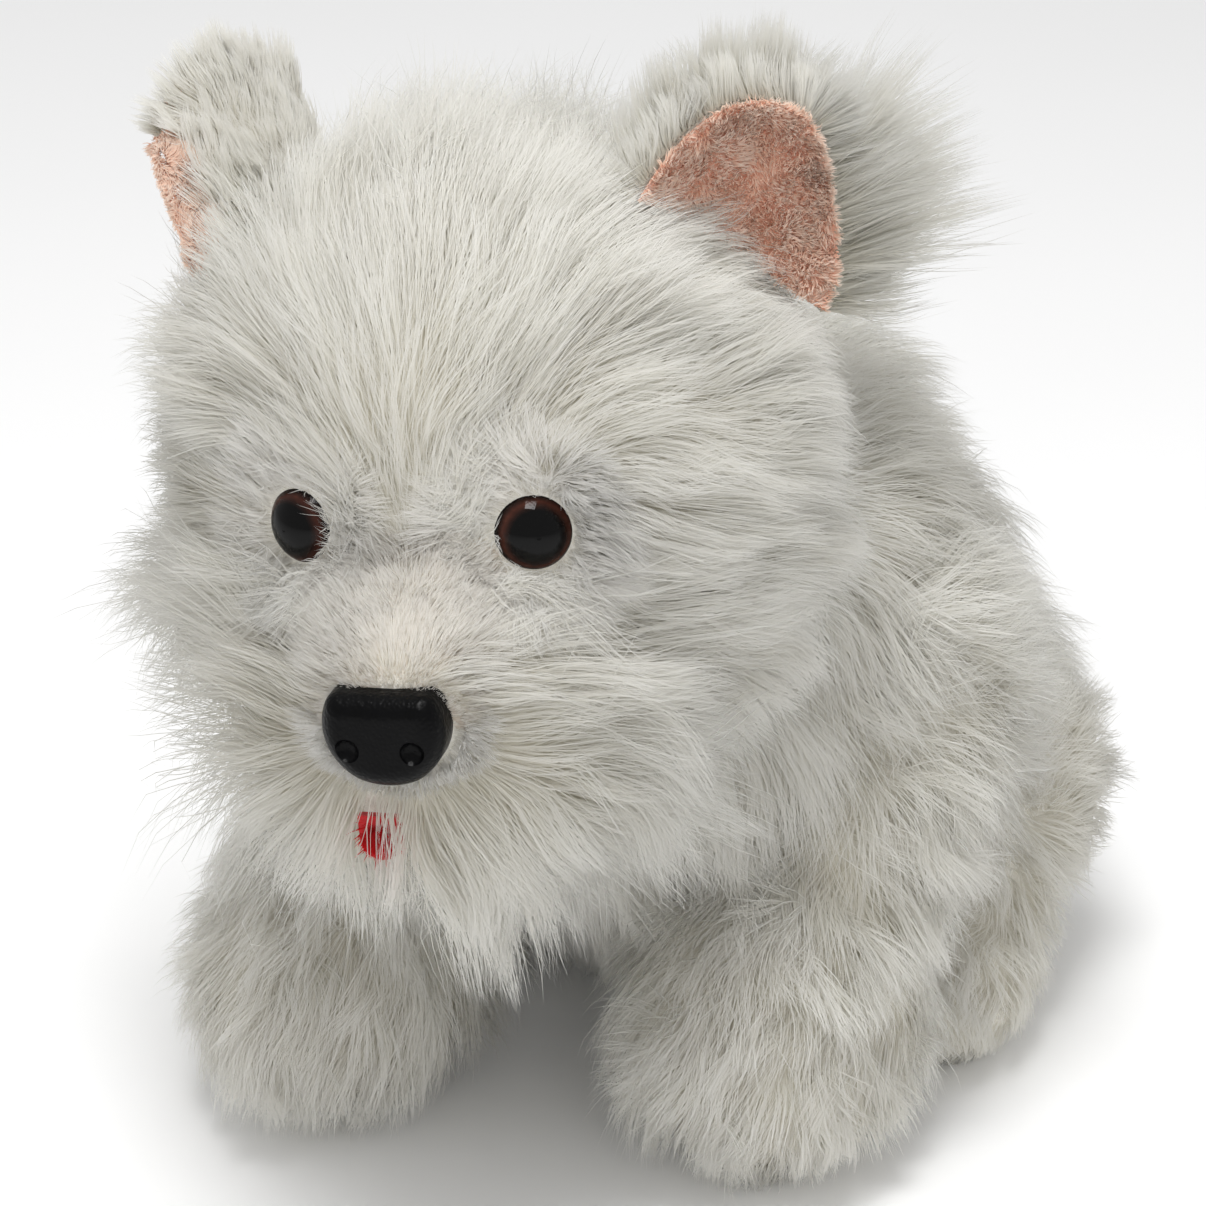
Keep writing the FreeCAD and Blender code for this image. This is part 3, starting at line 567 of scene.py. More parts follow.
def ribbons(name, path, outward, pile, material, tones):
    """One mesh of flat tapering strands along the paths."""
    count, rows = path.shape[:2]
    along = unit(np.gradient(path, axis=1))
    facing = outward + RNG.normal(size=outward.shape) * 0.15
    side = unit(np.cross(along, facing[:, None, :]))
    twist = np.clip(RNG.normal(size=count) * pile.twist, -1.1, 1.1)[:, None, None]
    side = side * np.cos(twist) + np.cross(along, side) * np.sin(twist)
    taper = 1 - np.linspace(0, 1, rows)[None, :-1, None] ** 2.2 * 0.8
    width = pile.width * (0.7 + 0.6 * RNG.random(count))[:, None, None] * taper / 2 / math.sqrt(SHARE)
    reach = side[:, :-1] * width
    edge_a, edge_b = path[:, :-1] - reach, path[:, :-1] + reach
    points = np.concatenate([np.stack([edge_a, edge_b], 2).reshape(count, -1, 3), path[:, -1:]], 1)
    each = points.shape[1]
    quads = np.array([[2 * i, 2 * i + 1, 2 * i + 3, 2 * i + 2] for i in range(rows - 2)]).ravel()
    corners = np.concatenate([quads, [each - 3, each - 2, each - 1]])
    starts = np.concatenate([np.arange(rows - 2) * 4, [(rows - 2) * 4]])
    first = (np.arange(count) * each)[:, None]
    mesh = bpy.data.meshes.new(name)
    mesh.vertices.add(count * each)
    mesh.vertices.foreach_set("co", points.ravel())
    mesh.loops.add(count * len(corners))
    mesh.loops.foreach_set("vertex_index", (first + corners).ravel())
    mesh.polygons.add(count * len(starts))
    mesh.polygons.foreach_set("loop_start", (np.arange(count)[:, None] * len(corners) + starts).ravel())
    mesh.update(calc_edges=True)
    shade_smooth(mesh)
    heights = np.append(np.repeat(np.arange(rows - 1) / (rows - 1), 2), 1.0)
    across = np.append(np.tile([-1.0, 1.0], rows - 1), 0.0) * 0.002
    uv = np.empty((count, len(corners), 2))
    uv[:, :, 0] = 0.01 + 0.98 * tones[:, None] + across[corners]
    uv[:, :, 1] = heights[corners]
    layer = mesh.uv_layers.new(name="OFBake")
    layer.data.foreach_set("uv", uv.ravel())
    own = unit(np.cross(side, along))
    shade = unit(own * OWN_NORMAL + outward[:, None, :] * (1 - OWN_NORMAL))
    shade = np.concatenate([np.repeat(shade[:, :-1], 2, axis=1), shade[:, -1:]], 1)
    mesh.normals_split_custom_set_from_vertices(shade.reshape(-1, 3))
    mesh.materials.append(material)
    return add_object(name, mesh)


def fur(name, body, material, roots, length, comb, pile, shunned=(), shag=0.0):
    """Grow strands from roots on a body's skin and make their meshes: one, or several patches."""
    form = FORMS[body]
    path = grow(form, roots, length, comb, pile, shunned, shag)
    tones = np.clip(RNG.random(len(roots))[gather(roots, pile.wisp)] * 0.7
                    + RNG.random(len(roots)) * 0.3, 0, 1)
    return patches(name, path, form.outward(roots), pile, material, tones)


def within_room(path):
    """Shortens the strands that would reach out of the room left round the CAD box."""
    low, high = (np.array(corner) for corner in CAD_BOX)
    room = 0.028 * (high - low) + 9.5 * MM
    reach = path[:, -1] - path[:, 0]
    over = np.maximum(low - room - path[:, -1], path[:, -1] - high - room)
    share = 1 - np.clip(over, 0, None) / np.maximum(np.abs(reach), 1e-6)
    share = np.clip(share.min(axis=1), 0.2, 1.0)[:, None, None]
    return path[:, :1] + (path - path[:, :1]) * share


def patches(name, path, outward, pile, material, tones):
    """Meshes of at most MOST_STRANDS strands each, parted by height."""
    path = within_room(path)
    parts = math.ceil(len(path) / MOST_STRANDS)
    by_height = np.argsort(path[:, 0, 2])
    made = []
    for index, chosen in enumerate(np.array_split(by_height, parts)):
        title = name if parts == 1 else f"{name}_{index + 1}"
        made.append(ribbons(title, path[chosen], outward[chosen], pile, material, tones[chosen]))
    return made


# ---- things that fur keeps clear of

def keep_off_axis(centre, axis, radius, behind=6 * MM):
    """Pushes points away from a line, such as the sight line of an eye, in front of its start.  The
    edge that is left is ragged."""
    def push(points):
        along, across = beside_axis(points, centre, axis)
        size = np.linalg.norm(across, axis=1)
        edge = radius * (1 + 0.07 * FRAY(points)[:, 0])
        short = np.where((along > -behind) & (size < edge), edge - size, 0)
        return points + across / np.maximum(size, 1e-6)[:, None] * short[:, None]
    return push


def keep_off_ball(centre, radii, turn):
    """Pushes points out of an ellipsoid."""
    radii = np.array(radii) * MM

    def push(points):
        local = ((points - centre) @ turn) / radii
        size = np.linalg.norm(local, axis=1)
        scale = np.where(size < 1, 1 / np.maximum(size, 1e-3), 1)
        return centre + (local * scale[:, None] * radii) @ turn.T
    return push


# ---- kinds of pile, and the forms

WHITE_TONES = ((0.91, 0.905, 0.885), (0.955, 0.95, 0.935), (1.0, 1.0, 0.99))
# Root colours darker than the tips: partly each pile's own tint, partly painted shade deep in the pile.
LONG_FUR = strand_material("long_white_pile", (0.80, 0.775, 0.70), (0.91, 0.90, 0.865), (0.96, 0.955, 0.94),
                           WHITE_TONES)
SHORT_FUR = strand_material("short_cream_pile", (0.86, 0.79, 0.71), (0.93, 0.905, 0.865), (0.96, 0.945, 0.92),
                            WHITE_TONES)
# The mottle is the knit; the tone, darker than the pile, is painted shade deep under the pile.
BACKING = backing_material("white_backing", (0.80, 0.78, 0.72), (0.66, 0.63, 0.55), 900)
EAR_BACKING = backing_material("ear_backing", (0.90, 0.58, 0.45), (0.78, 0.45, 0.33), 1200)
# Roots much lighter than the long pile's: painted light that lifts the shade in the hollows round the eyes;
# the ring round the nose uses it too.
RING_FUR = strand_material("short_white_pile", (0.93, 0.915, 0.88), (0.96, 0.95, 0.93), (0.98, 0.975, 0.96),
                           WHITE_TONES)
PINK_TONES = ((0.88, 0.84, 0.82), (0.97, 0.96, 0.95), (1.0, 1.0, 1.0))
PINK_FLEECE = strand_material("salmon_fleece", (1.0, 0.59, 0.43), (1.0, 0.75, 0.60), (1.0, 0.88, 0.78),
                              PINK_TONES, through=0.3)
RED_FELT = strand_material("red_felt_fibres", (0.45, 0.004, 0.006), (0.62, 0.006, 0.010), (0.72, 0.015, 0.02),
                           PINK_TONES)

FORMS = {"head": head_form(), "torso": torso_form(), "tail": tail_form(), "neck": neck_form()}
for side_name, side_sign in SIDES:
    FORMS[f"{side_name}_foreleg"] = foreleg_form(side_sign, side_name)
    FORMS[f"{side_name}_hind_leg"] = hind_leg_form(side_sign, side_name)


# ---- skins and fur of each body

def make_skins():
    """A padded skin for each stuffed body.  Each stands for the body's filling."""
    made = {}
    for body, panels in (("head", ("left_cheek_panel", "right_cheek_panel", "muzzle_panel", "chin_panel")),
                         ("torso", ("left_back_panel", "right_back_panel", "seat_panel")),
                         ("tail", ("tail_cover",)), ("neck", ("neck_stuffing",)),
                         *((f"{side}_{leg}", (f"{side}_{leg}_outer_panel", f"{side}_{leg}_inner_panel"))
                           for side, _ in SIDES for leg in ("foreleg", "hind_leg"))):
        low, high = boxes(*panels)
        made[body] = skin(f"{body}_skin", FORMS[body], low, high, BACKING)
        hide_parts(f"{body}_stuffing")
        if body == "neck":
            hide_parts("neck_seam")
            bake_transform(made[body])
        else:
            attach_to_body(made[body], body)
    return made


def covered(points, body, depth=3 * MM):
    """Which points lie inside another body's skin at rest."""
    inside = np.zeros(len(points), bool)
    for other, form in FORMS.items():
        if other not in (body, "neck"):
            inside |= form.distance(points) < -depth
    return inside


def attach(pieces, body, slot, *panels):
    """The pieces ride on a body, and the CAD panels, if there are any, are hidden."""
    if panels:
        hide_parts(*panels)
    for piece in pieces:
        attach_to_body(piece, body)


def panel_fur(panel, body, *growth):
    """Long fur that stands for one panel of a body."""
    name = panel.replace("panel", "fur").replace("gusset", "fur")
    attach(fur(name, body, LONG_FUR, *growth), body, "white_fur", panel)


def torso_comb(points):
    """Down over the flanks, back along the spine and outwards over the haunches."""
    offset = points - RUMP
    back = step_up(points[:, 2], 0.11, 0.15)[:, None]
    flow = vectors(offset[:, 0] * 3, 0.25, -1)
    over = vectors(offset[:, 0] * 9, 0.9, -0.25)
    return unit(flow * (1 - back) + over * back)


def torso_fur(made):
    pile = Pile(density=1.5, width=0.225, lift=0.40, bend=0.22, droop=0.14, scatter=0.42, wisp=3.2, lock=10,
                curl=0.16, lump=0.35)
    roots = scatter_roots(made["torso"], pile.density)
    roots = roots[~covered(roots, "torso")]
    seat_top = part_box("seat_panel")[1].z
    under = (roots[:, 2] < seat_top) & (RNG.random(len(roots)) < 0.4)
    roots = roots[~under]
    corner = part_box("belly_panel")[1]
    belly = (np.abs(roots[:, 0]) < corner.x) & (roots[:, 1] < corner.y) & (roots[:, 2] < corner.z)
    seat = roots[:, 2] < seat_top
    zones = {"belly_panel": belly & ~seat, "seat_panel": seat,
             "left_back_panel": ~belly & ~seat & (roots[:, 0] >= 0),
             "right_back_panel": ~belly & ~seat & (roots[:, 0] < 0)}
    for panel, zone in zones.items():
        spots = roots[zone]
        length = 29 * MM * (1 - 0.35 * step_up(spots[:, 2], 0.04, 0.01))
        panel_fur(panel, "torso", spots, length, torso_comb, pile)


def leg_comb(centre):
    """Away from a crown near the top of the leg, and down."""
    def comb(points):
        return unit(unit(points - centre) + DOWN * 0.45 + RIPPLE(points) * 0.5)
    return comb


def leg_length(spots, sign, leg):
    """Length of the pile on a leg: shorter towards the sole, and on the outside of the thigh."""
    outside = step_up(sign * spots[:, 0], 0.045, 0.065)
    if leg == "hind_leg":
        length = 22 - 7 * outside
    else:
        length = 24 - 5 * outside * step_up(spots[:, 2], 0.075, 0.045)
    return length * (1 - 0.55 * step_up(spots[:, 2], 0.034, 0.008))


def leg_fur(made):
    pile = Pile(density=1.7, width=0.21, lift=0.38, bend=0.26, droop=0.12, scatter=0.38, wisp=3.0, lock=9,
                curl=0.16, lump=0.4)
    for side, sign in SIDES:
        for leg in ("foreleg", "hind_leg"):
            body = f"{side}_{leg}"
            roots = scatter_roots(made[body], pile.density)
            roots = roots[~covered(roots, body)]
            middle = box_middle(f"{body}_stuffing")
            crown = middle + np.array([sign * 6, 8, 36] if leg == "foreleg" else [sign * 16, -12, 12]) * MM
            outer = sign * roots[:, 0] > sign * middle[0]
            for panel, zone in ((f"{body}_outer_panel", outer), (f"{body}_inner_panel", ~outer)):
                spots = roots[zone]
                length = leg_length(spots, sign, leg) * MM
                panel_fur(panel, body, spots, length, leg_comb(crown), pile)


def tail_fur(made):
    pile = Pile(density=1.8, width=0.20, lift=0.50, scatter=0.45)
    roots = scatter_roots(made["tail"], pile.density)
    roots = roots[~covered(roots, "tail", depth=5 * MM)]

    def comb(points):
        return np.tile(unit(np.array([0.0, 1.0, -0.1])), (len(points), 1))
    pieces = fur("tail_fur", "tail", LONG_FUR, roots, 20 * MM, comb, pile)
    attach(pieces, "tail", "white_fur", "tail_cover")


def head_comb(points):
    """Out from between the eyes over the forehead and cheeks; out from the nose over the muzzle; away
    from each eye close to it; down at the beard and the back of the head."""
    local = in_head(points)
    x, y, z = local.T
    brow = local - [0, -62, 1]
    brow[:, 0] *= 1.3
    nose = local - [0, -84, -22]
    low = step_up(z, 2, -8) * step_up(y, -16, -34)
    flow = unit(brow) * (1 - low)[:, None] + unit(nose) * low[:, None]
    behind = (step_up(y, -18, 6) * step_up(z, 48, 20))[:, None]
    flow = flow * (1 - behind) + behind * [0, 0.35, -0.8]
    side = step_up(np.abs(x), 25, 50)[:, None] * (1 - behind)
    flow = flow + side * [0, 0.25, -0.2]
    crown = (step_up(z, 34, 52) * step_up(np.abs(x), 34, 20))[:, None]
    flow = flow + crown * [0, 0, 0.9]
    beard = (step_up(z, -24, -44) * step_up(y, -10, -34))[:, None]
    flow = flow + beard * [0, -0.1, -1.2]
    moustache = (step_up(np.abs(x), 12, 26) * step_up(z, -8, -22) * step_up(y, -24, -44))[:, None]
    flow = flow + vectors(np.sign(x) * 1.1, 0.2, 0) * moustache
    for _, sign in SIDES:
        eye = local - EYE_PLACE * [sign, 1, 1]
        near = step_up(np.linalg.norm(eye, axis=1), 16, 10)[:, None]
        flow = flow * (1 - near) + unit(eye) * near * 1.5
    return unit(flow) @ HEAD.T


def head_length(local):
    """Length of the pile over the head, in millimetres: short on the bridge, by the eyes and behind."""
    x, y, z = local.T
    length = np.where(x > 30, 26.0, 30.0)
    length -= 7 * step_up(x, -24, -44) * step_up(z, -16, -4) * step_up(z, 34, 18)
    behind = step_up(y, -22, 0) * step_up(z, 48, 25)
    length -= 4 * behind
    cheek = step_up(np.abs(x), 12, 26) * step_up(y, 0, -22)
    right = x < 0
    length += 25 * cheek * right * step_up(z, -6, -22)
    length += 6 * cheek * ~right * step_up(z, 2, -14)
    beard = step_up(z, -34, -50) * step_up(y, -16, -40)
    length += 11 * beard
    bridge = bridge_share(local)
    length = length * (1 - bridge) + 7 * bridge
    for _, sign in SIDES:
        length *= 1 - 0.55 * near_spot(local, EYE_PLACE * [sign, 1, 1], 14)
    length *= 1 - 0.42 * near_spot(local, [40, -8, 50], [20, 16, 16])       # the foot of the left ear
    return length * (1 - 0.6 * near_spot(local, [0, -54, 8], [14, 14, 13]))     # between the eyes


def head_fur(made):
    pile = Pile(density=2.45, width=0.19, lift=0.34, bend=0.28, droop=0.12, scatter=0.24, wisp=2.6, lock=9,
                clump=0.45, lump=0.35)
    roots = scatter_roots(made["head"], pile.density)
    local = in_head(roots)
    hidden = covered(roots, "head")
    shunned = []
    for side, sign in SIDES:
        centre, axis = box_middle(f"{side}_eye_dome"), eye_axis(sign)
        along, across = beside_axis(roots, centre, axis)
        hidden |= (np.linalg.norm(across, axis=1) < 9.0 * MM) & (along > -12 * MM)
        shunned.append(keep_off_axis(centre, axis, 6.9 * MM))
    nose = box_middle("nose")
    hidden |= np.linalg.norm(in_head(roots, nose) / [12.5, 30, 9.8], axis=1) < 1
    shunned.append(keep_off_ball(nose, (13.5, 9, 10.0), HEAD))
    tongue = box_middle("tongue")
    from_tongue = in_head(roots, tongue)
    hidden |= np.linalg.norm(from_tongue / [3.8, 30, 3.6], axis=1) < 1
    hidden |= ((np.abs(from_tongue[:, 0]) < 4.5) & (from_tongue[:, 2] > 0) & (from_tongue[:, 2] < 10)
               & (from_tongue[:, 1] < 12))
    shunned.append(keep_off_ball(tongue + HEAD @ np.array([0.6, -5, -0.9]) * MM, (2.7, 12, 2.6), HEAD))
    roots, local = roots[~hidden], local[~hidden]
    x, y, z = local.T
    snout = (y < -50) & (z < 0)
    chin = snout & (z < -40)
    gusset = ~snout & (np.abs(x) < HALF_GUSSET) & (z > -22)
    zones = {"muzzle_panel": snout & ~chin, "chin_panel": chin, "forehead_gusset": gusset,
             "left_cheek_panel": ~snout & ~gusset & (x >= 0),
             "right_cheek_panel": ~snout & ~gusset & (x < 0)}
    for panel, zone in zones.items():
        spots = local[zone]
        panel_fur(panel, "head", roots[zone], head_length(spots) * MM, head_comb, pile, shunned,
                  shagginess(spots))
    short_fur(made, shunned)


def shagginess(local):
    """1 over the moustache and beard, and less over the cheeks."""
    x, y, z = local.T
    low = step_up(z, -4, -24) * step_up(y, -6, -30)
    return np.maximum(low, 0.35 * step_up(np.abs(x), 20, 40))


def bridge_share(local):
    """1 on top of the muzzle, where the pile is short, and 0 away from it."""
    x, y, z = local.T
    return (np.exp(-((x / 17) ** 4) - ((z + 9) / 14) ** 4)) * (y < -40)


def short_fur(made, shunned):
    """Dense short pile: cream on top of the muzzle, white in a ring round the nose and round each eye.  Its
    light roots are painted light that lifts the shade in the hollows round the eyes.
    """
    pile = Pile(density=9.0, width=0.17, lift=0.80, bend=0.10, droop=0.0, scatter=0.16, wisp=1.5, lock=6,
                clump=0.25, lump=0.1, curl=0.08)
    roots = scatter_roots(made["head"], pile.density)
    local = in_head(roots)
    y, z = local.T[1:]
    nose = box_middle("nose")
    from_nose = np.linalg.norm(in_head(roots, nose) / [11.2, 30, 8.9], axis=1)
    bridge = (bridge_share(local) > 0.25) & (from_nose > 1)
    ring = (from_nose > 1) & (from_nose < 1.5) & (y < -58) & ~bridge
    zones = [("bridge_fur", bridge, 1.5 + 3.0 * step_up(from_nose, 1.0, 1.9), head_comb, SHORT_FUR),
             ("nose_ring_fur", ring, 5.5 - 3.0 * step_up(z, -28, -34), away_from(nose), RING_FUR)]
    for side, sign in SIDES:
        centre, axis = box_middle(f"{side}_eye_dome"), eye_axis(sign)
        along, across = beside_axis(roots, centre, axis)
        across = np.linalg.norm(across, axis=1)
        near = (across > 7.0 * MM) & (across < 15.5 * MM) & (along > -16 * MM) & ~bridge & ~ring
        zones.append((f"{side}_eye_ring_fur", near, 5.5 + 6.0 * step_up(across, 8 * MM, 12 * MM),
                      away_from(centre), RING_FUR))
    laid = Pile(density=9.0, width=0.18, lift=0.50, bend=0.2, droop=0.05, scatter=0.25, wisp=1.8, lock=6,
                clump=0.35, lump=0.15, curl=0.10)
    for name, zone, length, comb, material in zones:
        kind = laid if "eye" in name else pile
        pieces = fur(name, "head", material, roots[zone], length[zone] * MM, comb, kind, shunned)
        attach(pieces, "head", "short_pile")
    tongue_fur()


def tongue_fur():
    """Frayed red fibres on the front of the felt tongue."""
    pile = Pile(density=1.0, width=0.20, wisp=0.8, lock=3, clump=0.4, lump=0.1)
    count = int(TONGUE_STRANDS * SHARE)
    across, up = RNG.normal(size=(2, count)) * 0.5
    spots = (box_middle("tongue") + HEAD @ np.array([0, -0.6, 0.0]) * MM
             + (vectors(across * 2.5, 0, up * 2.2) * MM) @ HEAD.T)
    heading = unit(vectors(across * 0.7, -1.0, up * 0.4 - 0.5)
                   + RNG.normal(size=(count, 3)) * 0.35) @ HEAD.T
    steps = np.arange(STEPS + 1)[None, :, None] / STEPS
    reach = RNG.uniform(1.5, 3.0, count)[:, None, None] * MM
    path = spots[:, None] + heading[:, None] * steps * reach + DOWN * (steps * reach) ** 2 * 90
    piece = ribbons("tongue_fibres", path, np.tile(HEAD @ [0.0, -0.7, 0.7], (count, 1)), pile, RED_FELT,
                    RNG.random(count))
    attach([piece], "head", "tongue_felt")


def away_from(centre):
    def comb(points):
        return unit(unit(points - centre) + FRAY(points) * 0.6)
    return comb


def neck_fur(made):
    """A ruff that fills the space between the head and the chest."""
    pile = Pile(density=1.3, width=0.22, lift=0.42, droop=0.15, scatter=0.38, wisp=3.2, curl=0.16)
    roots = scatter_roots(made["neck"], pile.density)
    roots = roots[~covered(roots, "neck", depth=1 * MM)]
    for piece in fur("neck_fur", "neck", LONG_FUR, roots, 26 * MM, torso_comb, pile):
        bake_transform(piece)


# ---- ears

class Ear:
    """One ear: its frame, with X along the root, Y up the ear and Z out of the lining.  Sizes are in
    millimetres.  tilt makes one side taller, taper takes width off the tip, lean shifts the tip sideways
    and corner says how sharp the corners of the tip are."""

    def __init__(self, side, sign, half, shift, height, tilt, taper, lean, corner, cup):
        joint = JOINTS[f"{side}_ear_flop"]
        self.side, self.sign, self.body = side, sign, f"{side}_ear"
        self.origin = np.array(joint["pos_m"])
        across = unit(np.array(joint["axis"]))
        middle = box_middle(f"{side}_ear_back")
        up = unit(along_skin(middle - self.origin, across))
        self.axes = np.stack([across, up, np.cross(across, up)], 1)
        self.half, self.shift, self.height, self.tilt = half, shift, height, tilt
        self.taper, self.lean, self.corner, self.cup = taper, lean, corner, cup

    def area(self):
        return 2 * self.half * self.height

    def spot(self, across, up, out):
        """A point of the ear's frame in millimetres, in the row frame."""
        return self.origin + (vectors(across, up, out) * MM) @ self.axes.T

    def surface(self, u, v, lift=0.0, margin=0.0):
        """u runs across from -1 to 1 and v up from 0 to 1, over the cupped flap."""
        rounded = np.sqrt(np.clip(1.0 - v ** self.corner, 0, 1))
        sideways = u * (self.half - margin) * (1 - self.taper * v ** 2) * rounded
        uneven = 1 + (self.tilt * u - 0.10 * u ** 2) * rounded
        up = margin * 0.8 + (self.height - 2 * margin) * v * uneven
        hollow = self.cup * (np.abs(sideways) / self.half) ** 2.2 * (1 - 0.35 * v) + 4.0 * v ** 3 - 3.0
        return self.spot(sideways + self.shift + self.lean * up, up, hollow + lift)


def ear_sheet(ear, name, lift, margin, material, thick):
    """A cupped flap with two sides, closed round its edge."""
    rows, columns = 22, 26
    u, v = np.meshgrid(np.linspace(-1, 1, columns), np.linspace(0, 1, rows))
    front = ear.surface(u.ravel(), v.ravel(), lift, margin)
    back = ear.surface(u.ravel() * 0.97, v.ravel(), lift - thick, margin)
    count = rows * columns
    faces = []
    for row in range(rows - 1):
        for column in range(columns - 1):
            a = row * columns + column
            faces.append((a, a + 1, a + columns + 1, a + columns))
            faces.append((a + count, a + columns + count, a + columns + 1 + count, a + 1 + count))
    border = (list(range(columns)) + [i * columns + columns - 1 for i in range(1, rows)]
              + [(rows - 1) * columns + i for i in range(columns - 2, -1, -1)]
              + [i * columns for i in range(rows - 2, 0, -1)])
    for start, end in zip(border, border[1:] + border[:1]):
        faces.append((start, start + count, end + count, end))
    mesh = bpy.data.meshes.new(name)
    mesh.from_pydata(np.concatenate([front, back]).tolist(), [], faces)
    mesh.update()
    mesh.materials.append(material)
    made = add_object(name, mesh)
    smooth = made.modifiers.new("smooth", "SUBSURF")
    smooth.levels = smooth.render_levels = 1
    apply_modifiers(made)
    shade_smooth(made.data)
    return made


def flap_fur(ear, name, u, v, base, heading, length, facing, pile, material):
    """Strands from spots on the flap.  heading, one for each spot, and facing, the side that the light
    sees, are in the ear's frame."""
    roots = ear.surface(u, v, base)
    wisp = gather(roots, pile.wisp)
    lock = gather(roots, pile.lock)
    noise = RNG.normal(size=(len(roots), 3))
    direction = unit(heading @ ear.axes.T + RIPPLE(roots) * pile.scatter * 0.6
                     + noise[wisp] * pile.scatter * 0.6 + RNG.normal(size=noise.shape) * pile.stray)
    wave = RIPPLE(roots + 0.05) + noise[wisp] * 0.5
    phase = SWELL(roots)[:, 1] * 3
    stretch = length * MM * (0.8 + 0.4 * RNG.random(len(roots))) / STEPS
    path = [roots]
    flow = unit(along_skin(heading, np.array([0.0, 0, 1]))) @ ear.axes.T
    for step in range(1, STEPS + 1):
        share = step / STEPS
        path.append(path[-1] + direction * stretch[:, None])
        ripple = wave * np.sin(phase + share * 5)[:, None] * pile.curl
        direction = unit(direction + flow * pile.bend + DOWN * pile.droop * share + ripple)
    path = close_wisps(np.stack(path, 1), wisp, pile.clump, 0.3)
    path = close_wisps(path, lock, pile.lump, 0.5)
    tones = np.clip(RNG.random(len(roots))[wisp] * 0.7 + RNG.random(len(roots)) * 0.3, 0, 1)
    outward = unit(np.broadcast_to(facing, heading.shape) @ ear.axes.T)
    return patches(name, path, outward, pile, material, tones)


def ear_fleece(ear):
    """Curly fleece over the lining and over the lining's edge."""
    fleece = Pile(density=7.0, width=0.25, bend=0.05, droop=0.0, scatter=0.35, stray=0.5, wisp=1.2, lock=4,
                  clump=0.7, lump=0.1, curl=0.7)
    count = int(ear.area() * fleece.density * SHARE)
    u, v = RNG.random((2, count)) * [[1.96], [0.97]] + [[-0.98], [0.02]]
    u = np.sign(u) * np.abs(u) ** 0.8
    edge = step_up(np.maximum(np.abs(u), v), 0.80, 0.97)
    heading = vectors(u * (0.2 + 0.8 * edge), 0.2 + 0.6 * edge * v, 1.0 - 0.5 * edge)
    pieces = flap_fur(ear, f"{ear.side}_ear_fleece", u, v, 0.3, heading, 2.3, [0, 0.75, 0.65], fleece,
                      PINK_FLEECE)
    if ear.sign == RIGHT:
        pieces += rolled_hem(ear, fleece)
    attach(pieces, ear.body, "ear_fleece", f"{ear.side}_ear_lining")


def rolled_hem(ear, fleece):
    """The lining rolls over the outer edge of the ear and shows as a strip at the back."""
    count = int(RIM_STRANDS * SHARE)
    around, v = RNG.random((2, count))
    v = 0.10 + (HEM_TOP - 0.10) * v
    turn = np.minimum(around * 2, 1) * math.pi
    inward = np.maximum(around * 2 - 1, 0) * HEM_WIDTH
    u = 1.0 - inward + 0.07 * np.sin(turn)
    heading = vectors(0.3 + np.sin(turn), 0.1, np.cos(turn))
    base = -1.6 + 3.0 * np.cos(turn)
    return flap_fur(ear, f"{ear.side}_ear_hem_fleece", u, v, base, heading, 2.0,
                    [0.8, 0, -0.6], fleece, PINK_FLEECE)


def off_hem(ear, u, v):
    """The spots that aren't on the rolled hem of the right ear."""
    if ear.sign == RIGHT:
        clear = (u < 1 - HEM_WIDTH) | (v > HEM_TOP)
        u, v = u[clear], v[clear]
    return u, v


def ear_length(ear, u, v):
    """Length of the fur, in millimetres: short on the right ear, and longest behind the outer edge of the
    left one."""
    if ear.sign == RIGHT:
        return 10
    return 17 + 28 * step_up(u, -0.1, 0.9) * step_up(v, 1.1, 0.7)


def ear_back_fur(ear):
    """Fur over the back and the rim of an ear."""
    back = Pile(density=6.5, width=0.20, bend=0.20, droop=0.04, scatter=0.32, wisp=2.6, lock=9, curl=0.14)
    count = int(ear.area() * back.density * SHARE)
    u, v = off_hem(ear, *(RNG.random((2, count)) * [[2.0], [1.0]] + [[-1.0], [0.0]]))
    fan = 0.9 if ear.sign == LEFT else 0.35         # how far the fur spreads sideways
    heading = vectors(fan * u, 0.7, -0.6)
    pieces = flap_fur(ear, f"{ear.side}_ear_back_fur", u, v, -3.2, heading, ear_length(ear, u, v),
                      [0, -0.3, -1.0], back, LONG_FUR)
    attach(pieces, ear.body, "white_fur", f"{ear.side}_ear_back")
    count = int(RIM_STRANDS * SHARE)
    turn = RNG.random(count)
    u = np.where(turn < 0.3, -1.0, np.where(turn > 0.7, 1.0, (turn - 0.5) * 5))
    v = np.where((turn < 0.3) | (turn > 0.7), RNG.random(count), 1.0) * 0.995
    u, v = off_hem(ear, u, v)
    base = RNG.uniform(-3.2, -0.6, len(u))
    heading = vectors(u, 0.35 + 0.8 * v, -0.35)
    facing = vectors(u * 0.4, 0.3 * v, 1.0)
    reach = ear_length(ear, u, v) * RNG.uniform(0.3, 0.75, len(u))
    pieces = flap_fur(ear, f"{ear.side}_ear_rim_fur", u, v, base, heading, reach, facing, back, LONG_FUR)
    attach(pieces, ear.body, "white_fur")


def make_ears():
    for side, sign in SIDES:
        if sign == LEFT:
            ear = Ear(side, sign, half=26, shift=5, height=29, tilt=-0.24, taper=0.30, lean=-0.04, corner=4,
                      cup=7)
        else:
            ear = Ear(side, sign, half=16.5, shift=3.0, height=32.5, tilt=0.15, taper=-0.12, lean=-0.52,
                      corner=14, cup=4)
        for name, slot, *shape in (("flap", "white_fur", -1.0, 0.6, BACKING, 2.0),
                                   ("inner", "ear_fleece", -0.3, 0.4, EAR_BACKING, 0.6)):
            sheet = ear_sheet(ear, f"{side}_ear_{name}", *shape)
            attach([sheet], ear.body, slot)
        ear_fleece(ear)
        ear_back_fur(ear)


# ---- small hard pieces

